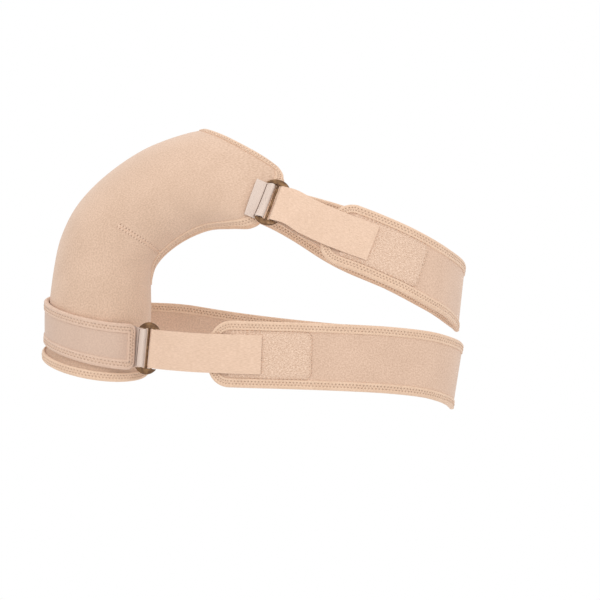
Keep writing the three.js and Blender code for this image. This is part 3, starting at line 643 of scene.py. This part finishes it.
def rises_onto(tree, points, inward, lift):
    """How far out along -inward each point of a row has to move to lie on what is under it, or nothing."""
    outside = 80
    found = []
    for point in points:
        hit = tree.ray_cast(Vector(point - outside * inward), Vector(inward))[0]
        found.append(None if hit is None else float(np.dot(np.array(hit) - lift * inward - point, -inward)))
    return found


def settled(points, frames, tree, lift):
    """Moves the rows behind the chest's middle plane clear of the shell, and its sewn rear end onto it."""
    rear = frames[-1].origin
    moved = []
    for row, f in zip(points, frames):
        rises = rises_onto(tree, row, -f.n, lift) if f.origin[1] > 0 else [None]
        known = [rise for rise in rises if rise is not None]
        if not known:
            moved.append(np.zeros(len(row)))
            continue
        places = [j for j, rise in enumerate(rises) if rise is not None]
        each = np.interp(np.arange(len(row)), places, known)
        free = float(smoothstep(np.linalg.norm(f.origin - rear), SEAM_OVERLAP, 2 * SEAM_OVERLAP))
        moved.append(each * (1 - free) + max(0, *known, 0) * free)
    moved = np.array(moved)
    kernel = np.array([1, 2, 3, 2, 1]) / 9
    padded = np.pad(moved, ((2, 2), (0, 0)), mode="edge")
    eased = sum(weight * padded[k:k + len(moved)] for k, weight in enumerate(kernel))
    normals = np.array([f.n for f in frames])
    return points + eased[..., None] * normals[:, None]


def chest_strip(slide, table, tree, lift):
    frames = chest_frames(slide, table)
    lengths = running_length(np.array([f.origin for f in frames]))
    halves = np.array([band_half(length, lengths[-1]) for length in lengths])
    points = np.array([row_across(f, half) for f, half in zip(frames, halves)])
    return Strip(settled(points, frames, tree, lift), lengths, halves)


def shoulder_tab_strip(slide, tree):
    lengths = np.linspace(-TAB_SEWN - PLATE_HALF, 0, 12)
    half = TAB_WIDTH / 2
    rows = []
    for length in lengths:
        row = row_across(slide, half, length)
        rises = [rise or 0 for rise in rises_onto(tree, row, -slide.n, OVER_BINDING + CLEARANCE / 2)]
        on_cap = 1 - smoothstep(length, -PLATE_HALF - 2, -PLATE_HALF + 4)
        rows.append(row + on_cap * np.array(rises)[:, None] * slide.n)
    return Strip(rows, lengths, [half] * len(lengths))


def arm_tab_strip(slide):
    half = TAB_WIDTH / 2
    leaves_sleeve = -5.5
    reaches = [TAB_SEWN + 1, TAB_SEWN / 2, 0, leaves_sleeve]
    rows = [np.array([arm_band_point(WAY_STEP * reach - ARM_BAND_FRONT, share * half, SEAT)[0]
                      for share in STRIP_SHARES]) for reach in reaches]
    rows += [row_across(slide, half, length) for length in (-PLATE_HALF, -PLATE_HALF / 2, 0)]
    lengths = running_length(np.array([row[len(row) // 2] for row in rows]))
    return Strip(rows, lengths - lengths[-1], [half] * len(rows))


# Webbing

def webbing(name, strip, line, width, wall, material):
    """Webbing along a line of lengths and heights over a strip."""
    line = np.array(line)
    run = unit(np.gradient(line, axis=0))
    along = running_length(line)
    half = width / 2
    rim, thinning = 0.08, 0.35  # shares of the half width and of the wall
    face = [(share * half, 0.5 * wall * (1 - thinning * max(0, abs(share) - 1 + rim) / rim))
            for share in np.linspace(-1, 1, 15)]
    section = face + [(side, -off) for side, off in reversed(face)]
    rings = []
    uvs = []
    for (length, lift), (forward, rising), u in zip(line, run, along):
        rings.append([strip.at(length - rising * off, side, lift + forward * off)[0]
                      for side, off in section])
        uvs.append([(u, side) for side, _ in section])
    return tube(name, rings, np.array(uvs), MATERIALS[material], sharp=50)


def round_bar(centre, radius, sign, turns=14):
    angles = -math.pi / 2 - sign * math.pi * np.linspace(0, 1, turns + 1)
    return [(centre + radius * math.cos(a), SLIDE_HEIGHT + radius * math.sin(a)) for a in angles]


def leg(start, end, bar_height, far_height, settle_by):
    """A strap's leg from its bar to its end, which eases to its height over the body."""
    lengths = np.arange(start + 1, end, 2.5)
    share = smoothstep(lengths, start, settle_by)
    heights = bar_height + (far_height - bar_height) * share
    return [*zip(lengths, heights), (end, far_height)]


def strap_line(sizes):
    radius = BAR_WIDTH / 2 + CLEARANCE + STRAP_WALL / 2
    settle_by = 26
    low = leg(BAR_PITCH, sizes.fixed_end, SLIDE_HEIGHT - radius, STRAP_UNDER + STRAP_WALL / 2, settle_by)
    high = leg(BAR_PITCH, sizes.free_end, SLIDE_HEIGHT + radius, STRAP_OVER + STRAP_WALL / 2, settle_by)
    return [*reversed(low), *round_bar(BAR_PITCH, radius, 1), *high]


def tab_line(strip):
    radius = BAR_WIDTH / 2 + WEBBING_GAP + TAB_WALL / 2
    leg_gap = 0.2
    under = TAB_WALL / 2
    over = under + TAB_WALL + leg_gap
    sewn = np.linspace(strip.lengths[0], -PLATE_HALF, 12)
    closing = 0.75
    beside_bar = -BAR_PITCH - radius - CLEARANCE
    low = [*((length, under) for length in sewn), (beside_bar, SLIDE_HEIGHT - closing * radius)]
    high = [*((length, over) for length in sewn), (beside_bar, SLIDE_HEIGHT + closing * radius)]
    return [*low, *round_bar(-BAR_PITCH, radius, -1), *reversed(high)]


def rounded_half(past, half, corner):
    """Half the width at a distance past a rounded end."""
    past = min(max(past, 0), corner)
    return half - corner + math.sqrt(corner ** 2 - (corner - past) ** 2)


def rounding(corner, count):
    """Distances from a rounded end to where its corners stop, close together at the end."""
    return corner * (1 - np.cos(np.linspace(0, math.pi / 2, count)))


def band_lengths(start, end, corner, step=3.0):
    straight = np.linspace(start + corner, end, int((end - start - corner) / step) + 1)
    return [*(start + rounding(corner, 12)[:-1]), *straight]


def band_sheet(name, surface, lengths, half_at, low, high, material, columns=25):
    """A sheet over a surface, from edge to edge at each of its lengths."""
    shares = np.linspace(1, -1, columns)
    uvs = np.array([[(length, share * half_at(length)) for share in shares] for length in lengths])
    points, normals = points_and_normals([[surface(*uv) for uv in row] for row in uvs])
    return sheet(name, points, normals, low, high, uvs, MATERIALS[material])


def outline_stops(surface, start, end, half_at, corner, step=2.0):
    """Stops down one edge of a band to its rounded front end, across it and back along the other edge."""
    far = np.arange(end, start + corner, -step)
    sides = [(length, half_at(length), 0.0) for length in far]
    half = half_at(start + corner)
    turns = np.linspace(0, math.pi / 2, max(6, int(corner)))
    sides += [(start + corner * (1 - math.sin(a)), half - corner * (1 - math.cos(a)), a) for a in turns]
    flat = half - corner
    ends = [(start, side, math.pi / 2) for side in np.linspace(flat, -flat, max(3, int(flat)))[1:-1]]

    def stop(length, side, turn, sign):
        return lambda d: surface(length + d * math.sin(turn), side - sign * d * math.cos(turn))

    first = [stop(*spot, 1) for spot in sides + ends]
    return first + [stop(length, -half, turn, -1) for length, half, turn in reversed(sides)]


# Loop-pile patches

def patch(name, strip, start):
    end = start + PATCH_LENGTH
    half = PATCH_WIDTH / 2
    near_corner = 4
    sunk = -0.9

    def half_at(length):
        near_half = rounded_half(length - start, half, near_corner)
        return min(near_half, rounded_half(end - length, half, PATCH_CORNER))

    def surface(length, side):
        rim = min(half_at(length) - abs(side), length - start, end - length)
        return strip.at(length, side, BAND_HIGH + pile_height(rim))

    straight = np.linspace(start + near_corner, end - PATCH_CORNER, 60)
    closing = end - rounding(PATCH_CORNER, 9)[-2::-1]
    lengths = [*(start + rounding(near_corner, 6)[:-1]), *straight, *closing]
    return band_sheet(name, surface, lengths, half_at, sunk, 0, "pile", 41)


def pile_height(rim):
    """The pile's height over its band, where it stands up inside its stitched rim."""
    return 0.8 + 0.7 * smoothstep(rim, 2.2, 4.2) + 0.2 * smoothstep(rim, 0, 0.6)


def rim_zigzag(name, strip, start):
    """Zigzag stitches round a patch's rim."""
    inside_rim, outside_rim = 1.6, 0.9
    over, under = 1.15, 0.05
    end = start + PATCH_LENGTH
    half = PATCH_WIDTH / 2
    corner = PATCH_CORNER
    outline = [(start + 1, half), (end - corner, half)]
    outline += [(end - corner * (1 - math.sin(a)), half - corner * (1 - math.cos(a)))
                for a in np.linspace(0.1, math.pi / 2, 8)]
    outline += [(end, 0)]
    outline += [(length, -side) for length, side in reversed(outline)]
    outline = np.array(outline)
    total = running_length(outline)
    along = np.arange(0, total[-1], 1.0)
    centre = np.array([(start + end) / 2, 0])
    reach = np.array([PATCH_LENGTH / 2, half])
    offsets = sampled(along, total, outline) - centre
    lines = []
    for grown, lift in ((-inside_rim, over), (outside_rim, under)):
        track = centre + offsets * (1 + grown / reach)
        points, normals = points_and_normals([strip.at(*spot, BAND_HIGH + lift) for spot in track])
        lines.append(points)
    return zigzag(name, along, lines, normals, pitch=4.2, rise=0.5, radius=0.36)


# Slides

def slide(name, f, node):
    """Three round bars between two plates with domed outer edges."""
    centre = f.origin + SLIDE_HEIGHT * f.n
    basis = np.stack([f.t, f.v, f.n])
    shape = bmesh.new()
    inner = SLIDE_SPAN / 2
    radius = (PLATE_HALF ** 2 + PLATE_RISE ** 2) / (2 * PLATE_RISE)
    spread = math.asin(PLATE_HALF / radius)
    arc = np.linspace(-spread, spread, 33)
    across = inner + PLATE_RISE - radius + radius * np.cos(arc)
    for sign in (1, -1):
        add_plate(shape, np.stack([radius * np.sin(arc), sign * across], axis=1), SLIDE_WALL)
    for place in (-BAR_PITCH, 0, BAR_PITCH):
        add_bar(shape, place, inner + PLATE_RISE / 4, BAR_WIDTH / 2)
    for vertex in shape.verts:
        vertex.co = Vector(((centre - ORIGIN) + np.array(vertex.co) @ basis) / 1000)
    place_piece(finished(shape, bpy.data.meshes.new(name), MATERIALS["brass"], sharp=35), "brass", node)


def add_plate(shape, outline, wall):
    """A plate with rounded rims, as stacked outlines that draw in towards its two faces."""
    inward = unit(outline.mean(axis=0) - outline)
    rings = []
    for a in np.linspace(-math.pi / 2, math.pi / 2, 9):
        drawn_in = outline + inward * wall / 2 * (1 - math.cos(a))
        rings.append([(x, y, math.sin(a) * wall / 2) for x, y in drawn_in])
    add_rings(shape, rings)


def add_bar(shape, place, reach, radius, sides=24):
    turns = np.linspace(0, 2 * math.pi, sides, endpoint=False)
    add_rings(shape, [[(place + radius * math.cos(a), y, radius * math.sin(a)) for a in turns]
                      for y in (-reach, reach)])


def add_rings(shape, rings):
    """A body through rings of points, with flat ends."""
    rings = [[shape.verts.new(point) for point in ring] for ring in rings]
    for low, high in zip(rings, rings[1:]):
        for k in range(len(low)):
            shape.faces.new((low[k - 1], low[k], high[k], high[k - 1]))
    shape.faces.new(rings[0])
    shape.faces.new(rings[-1])


# Materials

def linear(colour):
    """A screen colour of 0 to 255 as light."""
    return tuple((c / 255 / 12.92 if c < 10.3 else ((c / 255 + 0.055) / 1.055) ** 2.4) for c in colour)


class Shader:
    """A material's nodes, with short ways to add them."""

    def __init__(self, name):
        self.material = bpy.data.materials.new(name)
        self.material.use_nodes = True
        self.tree = self.material.node_tree
        self.shader = self.tree.nodes["Principled BSDF"]
        self.uv = self.add("TexCoord").outputs["UV"]
        split = self.add("SeparateXYZ", Vector=self.uv)
        self.along, self.across = split.outputs["X"], split.outputs["Y"]

    def add(self, kind, settings=None, **inputs):
        made = self.tree.nodes.new(f"ShaderNode{kind}")
        for key, value in (settings or {}).items():
            setattr(made, key, value)
        for key, value in inputs.items():
            self.plug(made.inputs[key.replace("_", " ")], value)
        return made

    def plug(self, socket, value):
        if isinstance(value, bpy.types.NodeSocket):
            self.tree.links.new(value, socket)
        else:
            socket.default_value = value

    def math(self, operation, a, b=0.0, c=0.0):
        made = self.add("Math", {"operation": operation})
        for socket, value in zip(made.inputs, (a, b, c)):
            self.plug(socket, value)
        return made.outputs[0]

    def ramp(self, value, low, high, out_low=0.0, out_high=1.0):
        made = self.add("MapRange", {"interpolation_type": "SMOOTHSTEP"}, Value=value)
        for key, number in (("From Min", low), ("From Max", high), ("To Min", out_low), ("To Max", out_high)):
            made.inputs[key].default_value = number
        return made.outputs["Result"]

    def noise(self, size, detail=2.0, stretch=(1, 1, 1)):
        """Noise with grains of a size in millimetres over the cloth."""
        scaled = self.add("VectorMath", {"operation": "MULTIPLY"})
        self.plug(scaled.inputs[0], self.uv)
        scaled.inputs[1].default_value = [1 / size / s for s in stretch]
        made = self.add("TexNoise", Vector=scaled.outputs[0], Scale=1.0, Detail=detail)
        return made.outputs["Fac"]

    def space_noise(self, size, detail=3.0):
        """Noise with patches of a size in millimetres through space."""
        place = self.add("TexCoord").outputs["Object"]
        made = self.add("TexNoise", Vector=place, Scale=1000 / size, Detail=detail)
        return made.outputs["Fac"]

    def with_patches(self, grain, size, share):
        """A grain with soft patches of a size mixed in by a share."""
        patches = self.ramp(self.space_noise(size), 0.3, 0.7)
        return self.math("MULTIPLY_ADD", grain, 1 - share, self.math("MULTIPLY", patches, share))

    def mix(self, share, a, b):
        made = self.add("Mix", {"data_type": "RGBA"})
        self.plug(made.inputs["Factor"], share)
        for name, value in (("A", a), ("B", b)):
            socket = [s for s in made.inputs if s.name == name and s.type == "RGBA"][0]
            self.plug(socket, value if isinstance(value, bpy.types.NodeSocket) else (*value, 1))
        return [s for s in made.outputs if s.type == "RGBA"][0]

    def tones(self, share, dark, light):
        """From a dark to a light screen colour."""
        return self.mix(share, linear(dark), linear(light))

    def finish(self, colour, relief, depth, roughness=0.9, sheen=0.25, metallic=0.0):
        """Depth is the relief's height in millimetres."""
        bump = self.add("Bump", Height=relief, Strength=1.0, Distance=depth / 1000)
        self.plug(self.shader.inputs["Base Color"], colour)
        self.plug(self.shader.inputs["Normal"], bump.outputs["Normal"])
        self.shader.inputs["Roughness"].default_value = roughness
        self.shader.inputs["Metallic"].default_value = metallic
        self.shader.inputs["Sheen Weight"].default_value = sheen
        self.shader.inputs["Sheen Roughness"].default_value = 0.5
        self.shader.inputs["Specular IOR Level"].default_value = 0.5 if metallic else 0.15
        return self.material


def knit(name, light, dark, depth=0.2):
    """The fine knitted face of neoprene: small uneven loops in faint rows."""
    s = Shader(name)
    loops = s.noise(0.85, 2.0, (1, 1.25, 1))
    speckle = s.ramp(s.noise(1.6, 3.0), 0.32, 0.68)
    relief = s.math("MULTIPLY_ADD", speckle, 0.6, loops)
    return s.finish(s.tones(s.with_patches(speckle, 28, 0.2), dark, light), relief, depth)


def holes(s, row, phase):
    """Small round dimples in a row along the tape, one for each stitch."""
    turn = s.math("FRACT", s.math("ADD", s.math("DIVIDE", s.along, STITCH), phase))
    du = s.math("MULTIPLY", s.math("SUBTRACT", turn, 0.5), STITCH)
    dv = s.math("SUBTRACT", s.across, row)
    reach = s.math("SQRT", s.math("ADD", s.math("MULTIPLY", du, du), s.math("MULTIPLY", dv, dv)))
    return s.ramp(reach, 0.45, 0.95, 1.0, 0.0)


def pierced(s, rows, cloth, relief, painted_shade, share):
    """A cloth with needle holes along two rows, darkened towards a colour of painted shade by a share."""
    both = s.math("MAXIMUM", holes(s, rows[0], 0.5), holes(s, rows[1], 0.0))
    sunk = s.math("SUBTRACT", relief, s.math("MULTIPLY", both, 3.0))
    return s.finish(s.mix(s.math("MULTIPLY", both, share), cloth, linear(painted_shade)), sunk, 0.2)


def binding_material(name, light, dark):
    """Ribbed elastic tape with needle holes along its two rows of stitches, darkened with painted shade."""
    s = Shader(name)
    ribs = s.math("SINE", s.math("MULTIPLY", s.across, 2 * math.pi / 1.1))
    grain = s.ramp(s.noise(1.1, 3.0, (1.6, 1, 1)), 0.3, 0.7)
    relief = s.math("MULTIPLY_ADD", ribs, 0.2, grain)
    cloth = s.tones(s.with_patches(grain, 22, 0.25), dark, light)
    # The needle holes are darkened towards a colour of painted shade.
    return pierced(s, STITCH_ROWS, cloth, relief, (170, 128, 100), 0.6)


def dart_material():
    """Neoprene pressed flat, with needle holes along both edges of its stitches, darkened with painted shade.
    """
    s = Shader("dart")
    grain = s.ramp(s.noise(1.2, 3.0), 0.3, 0.7)
    cloth = s.tones(grain, (222, 190, 166), (236, 205, 182))
    # The needle holes are darkened towards a colour of painted shade.
    return pierced(s, (DART_STITCHES, -DART_STITCHES), cloth, grain, (160, 118, 92), 0.7)


def elastic_material():
    """Brushed elastic: fine cords along it under short fuzz."""
    s = Shader("elastic")
    cords = s.math("SINE", s.math("MULTIPLY", s.across, 2 * math.pi / 1.25))
    fuzz = s.ramp(s.noise(0.8, 3.0, (4.5, 1, 1)), 0.3, 0.7)
    relief = s.math("MULTIPLY_ADD", cords, 0.25, fuzz)
    cloth = s.tones(s.with_patches(fuzz, 16, 0.2), (219, 187, 162), (236, 204, 180))
    return s.finish(cloth, relief, 0.16, sheen=0.3)


def webbing_material():
    """Herringbone webbing: slanted ribs that turn back every few millimetres."""
    s = Shader("webbing")
    fold = s.math("PINGPONG", s.across, 3.3)
    slant = s.math("MULTIPLY", s.math("ADD", s.along, fold), 2 * math.pi / 1.5)
    ribs = s.math("MULTIPLY_ADD", s.math("SINE", slant), 0.5, 0.5)
    grain = s.noise(0.6, 2.0)
    share = s.math("MULTIPLY_ADD", ribs, 0.7, s.math("MULTIPLY", grain, 0.3))
    return s.finish(s.tones(share, (205, 184, 171), (240, 221, 208)), share, 0.3)


def pile_material():
    """Short loops that lean in small clumps."""
    s = Shader("pile")
    clumps = s.ramp(s.noise(1.3, 2.0, (1.5, 0.8, 1)), 0.3, 0.7)
    grains = s.add("TexVoronoi", Vector=s.uv, Scale=1.0)
    loops = s.ramp(grains.outputs["Distance"], 0.0, 0.8, 1.0, 0.0)
    share = s.math("MULTIPLY_ADD", clumps, 0.65, s.math("MULTIPLY", loops, 0.4))
    return s.finish(s.tones(share, (201, 167, 142), (247, 217, 194)), share, 0.4, sheen=0.35)


def thread_material(name, light, dark):
    """Twisted polyester thread."""
    s = Shader(name)
    twist = s.math("SINE", s.math("MULTIPLY", s.math("ADD", s.along, s.across), 2 * math.pi / 0.6))
    share = s.math("MULTIPLY_ADD", twist, 0.3, 0.6)
    return s.finish(s.tones(share, dark, light), twist, 0.05)


def brass_material():
    """Dark bronze plating, rubbed in fine scratches."""
    s = Shader("brass")
    wear = s.ramp(s.space_noise(5, 4.0), 0.35, 0.7)
    scratches = s.space_noise(0.7, 4.0)
    s.shader.inputs["Coat Weight"].default_value = 0.2
    return s.finish(s.tones(wear, (98, 70, 48), (142, 108, 74)), scratches, 0.02, roughness=0.36, sheen=0.0,
                    metallic=0.85)


MATERIALS = {
    "neoprene": knit("neoprene", (226, 195, 172), (201, 170, 146)),
    "band_neoprene": knit("band_neoprene", (227, 195, 172), (203, 171, 148)),
    # The arm band's cloth is greyer than the chest bands' cloth, and darker by painted shade from where it lies
    # under the arm.
    "arm_neoprene_painted_shade": knit("arm_neoprene_painted_shade", (213, 185, 166), (200, 172, 154), 0.12),
    "binding": binding_material("binding", (236, 205, 179), (220, 186, 159)),
    # The arm band's binding is the same tape in a greyer, darker copy; its darkness is painted shade, like the
    # arm band's.
    "arm_binding_painted_shade": binding_material("arm_binding_painted_shade", (226, 196, 175), (211, 180, 159)),
    "dart": dart_material(),
    "elastic": elastic_material(),
    "webbing": webbing_material(),
    "pile": pile_material(),
    "thread": thread_material("thread", (238, 207, 182), (218, 184, 158)),
    # Dark thread for the tabs' seams: its darkness is painted shade under the loops' raised edges
    "dark_thread_painted_shade": thread_material("dark_thread_painted_shade", (120, 92, 76), (92, 68, 54)),
    "brass": brass_material(),
}


# Pieces

def build_shell():
    points, normals, seam = shell_grid()
    # Over the sleeve's length and round its middle row, so that the knit keeps one scale
    lengths = running_length(points[:, points.shape[1] // 2])
    girth = np.array([running_length(row) - running_length(row)[-1] / 2 for row in points])
    uvs = np.stack(np.broadcast_arrays(lengths[:, None], girth), axis=-1)
    shell = sheet("shell", points, normals, -SHELL_WALL, 0, uvs, MATERIALS["neoprene"], seam)
    place_piece(shell, "neoprene", "shoulder_shell")
    tree = BVHTree.FromPolygons(points.reshape(-1, 3).tolist(), lattice(*points.shape[:2]))
    return shell, tree


def build_dart():
    """The dart across the front of the sleeve's top: cloth pressed flat under zigzag stitches."""
    track = np.linspace(DART_START, DART_END, 60)
    middle, normals = points_and_normals([shell_at(ARMPIT + rows_up, way) for rows_up, way in track])
    across = unit(np.cross(np.gradient(middle, axis=0), normals))
    along = running_length(middle)
    sides = np.linspace(-DART_HALF, DART_HALF, 9)
    points = middle[:, None] + sides[None, :, None] * across[:, None]
    turned = np.repeat(normals[:, None], len(sides), axis=1)
    dart = sheet("dart", points, turned, *DART_HEIGHTS, grid(along, sides), MATERIALS["dart"])
    place_piece(dart, "neoprene")
    lines = [middle + side * across + DART_LIFT * normals for side in (DART_STITCHES, -DART_STITCHES)]
    stitches = zigzag("dart_stitches", along, lines, normals, rise=0.2)
    place_piece(stitches, "neoprene")


def build_arm_band():
    half = ARM_BAND_WIDTH / 2
    end = (ARM_BAND_BACK + ARM_BAND_FRONT) / WAY_STEP

    def half_at(length):
        return rounded_half(length, half, ARM_BAND_CORNER)

    lengths = band_lengths(0, end, ARM_BAND_CORNER)
    band = band_sheet("armband", arm_surface, lengths, half_at, ARM_BAND_LOW, ARM_BAND_HIGH, "arm_neoprene_painted_shade")
    place_piece(band, "band_neoprene", "arm_band")
    stops = outline_stops(arm_surface, 0, end, lambda length: half, ARM_BAND_CORNER)
    trim = folded_tape("armband_binding", stops, ARM_BAND_LOW, ARM_BAND_HIGH, False, "arm_band_binding",
                       "arm_binding_painted_shade")


def build_chest_band(name, slide_frame, table, sizes, tree, lift):
    start = sizes.band_start
    strip = chest_strip(slide_frame, table, tree, lift)
    end = strip.lengths[-1] - REAR_TRIM

    def tapered(length):
        return band_half(length, strip.lengths[-1])

    def half_at(length):
        return min(rounded_half(length - start, BAND_WIDTH / 2, BAND_CORNER), tapered(length))

    lengths = band_lengths(start, end, BAND_CORNER)
    band = band_sheet(f"{name}_chest_band", strip.at, lengths, half_at, BAND_LOW, BAND_HIGH, "band_neoprene")
    place_piece(band, "band_neoprene", f"{name}_band")
    stops = outline_stops(strip.at, start, end, tapered, BAND_CORNER)
    trim = folded_tape(f"{name}_tape", stops, BAND_LOW, BAND_HIGH, False, f"{name}_band_binding")
    pile = patch(f"{name}_pile", strip, sizes.patch_start)
    place_piece(pile, "pile", f"{name}_patch")
    rim = rim_zigzag(f"{name}_pile_stitches", strip, sizes.patch_start)
    place_piece(rim, "pile")
    strap = webbing(f"{name}_webbing", strip, strap_line(sizes), STRAP_WIDTH, STRAP_WALL, "elastic")
    place_piece(strap, "elastic", f"{name}_strap")


def build_tab(name, strip, node):
    line = tab_line(strip)
    place_piece(webbing(name, strip, line, TAB_WIDTH, TAB_WALL, "webbing"), "webbing", node)
    # A seam across it, where it leaves the cloth, sewn in dark thread whose darkness is painted shade under the
    # loop's raised edge
    inset, beside_slide, radius = 1, 0.5, 0.4
    half = TAB_WIDTH / 2 - inset
    top = line[-1][1] + TAB_WALL / 2
    across = np.linspace(half, -half, 30)
    points, _ = points_and_normals([strip.at(-PLATE_HALF - beside_slide, side, top) for side in across])
    place_piece(thread(f"{name}_seam", points, radius, "dark_thread_painted_shade"), "webbing")


shell, shell_tree = build_shell()
cap_trim = folded_tape("cap_tape", cap_edge_stops(), -SHELL_WALL, 0, True, "cap_binding")
cuff_trim = folded_tape("cuff_tape", hem_stops(), -SHELL_WALL, 0, True, "cuff_binding")
build_dart()
build_arm_band()

lower_slide, upper_slide = lower_slide_frame(), upper_slide_frame()
slide("arm_ring", lower_slide, "arm_slide")
slide("shoulder_ring", upper_slide, "shoulder_slide")
build_tab("arm_loop", arm_tab_strip(lower_slide), "arm_tab")
build_tab("shoulder_loop", shoulder_tab_strip(upper_slide, shell_tree), "shoulder_tab")
under_band = BAND_LOW - CLEARANCE - TAPE_WALL
build_chest_band("lower", lower_slide, LOWER_PATH, LOWER, shell_tree,
                 ARM_BAND_HIGH + OVER_BINDING + CLEARANCE + SEAT - under_band)
build_chest_band("upper", upper_slide, UPPER_PATH, UPPER, shell_tree, OVER_BINDING + SEAT - under_band)


# Studio

CAMERA_DISTANCE = 4.0
VIEW_WIDTH = 0.63
VIEW_CENTRE = (-5.25, 0, -21)  # over the body's midline and armpit level, in millimetres
FLOOR = -3.0
FLOOR_REACH = 12
LIGHT_TARGET = (0.1, 0, -0.12)


def build_camera():
    camera = linked(bpy.data.cameras.new("camera"))
    camera.data.lens = camera.data.sensor_width * CAMERA_DISTANCE / VIEW_WIDTH
    centre = metres(VIEW_CENTRE)
    camera.location = (centre[0], centre[1] - CAMERA_DISTANCE, centre[2])
    camera.rotation_euler = (math.radians(90), 0, 0)
    camera.data.clip_end = 50
    bpy.context.scene.camera = camera


def build_backdrop():
    """A pale floor far below the brace."""
    corners = [(x * FLOOR_REACH, y * FLOOR_REACH, FLOOR) for x, y in ((-1, -1), (1, -1), (1, 1), (-1, 1))]
    mesh = bpy.data.meshes.new("backdrop")
    mesh.from_pydata(corners, [], [(0, 1, 2, 3)])
    material = bpy.data.materials.new("paper")
    material.use_nodes = True
    shader = material.node_tree.nodes["Principled BSDF"]
    shader.inputs["Base Color"].default_value = (0.93, 0.93, 0.93, 1)
    shader.inputs["Roughness"].default_value = 1
    mesh.materials.append(material)
    linked(mesh)


def area_light(name, place, size, power):
    light = linked(bpy.data.lights.new(name, "AREA"))
    light.data.shape = "DISK"
    light.data.size = size
    light.data.energy = power
    light.location = place
    light.rotation_euler = (Vector(LIGHT_TARGET) - Vector(place)).to_track_quat("-Z", "Y").to_euler()


def build_light():
    area_light("key", (0.9, -2.6, 1.5), 1.6, 14)
    area_light("fill", (-2.2, -2.0, 0.5), 1.8, 4)
    area_light("top", (0.2, 0.2, 2.4), 2.0, 8)
    world = bpy.data.worlds.new("studio")
    world.use_nodes = True
    background = world.node_tree.nodes["Background"]
    background.inputs["Color"].default_value = (1, 1, 1, 1)
    background.inputs["Strength"].default_value = 1.0
    bpy.context.scene.world = world
    bpy.context.scene.view_settings.view_transform = "Standard"


build_camera()
build_backdrop()
build_light()
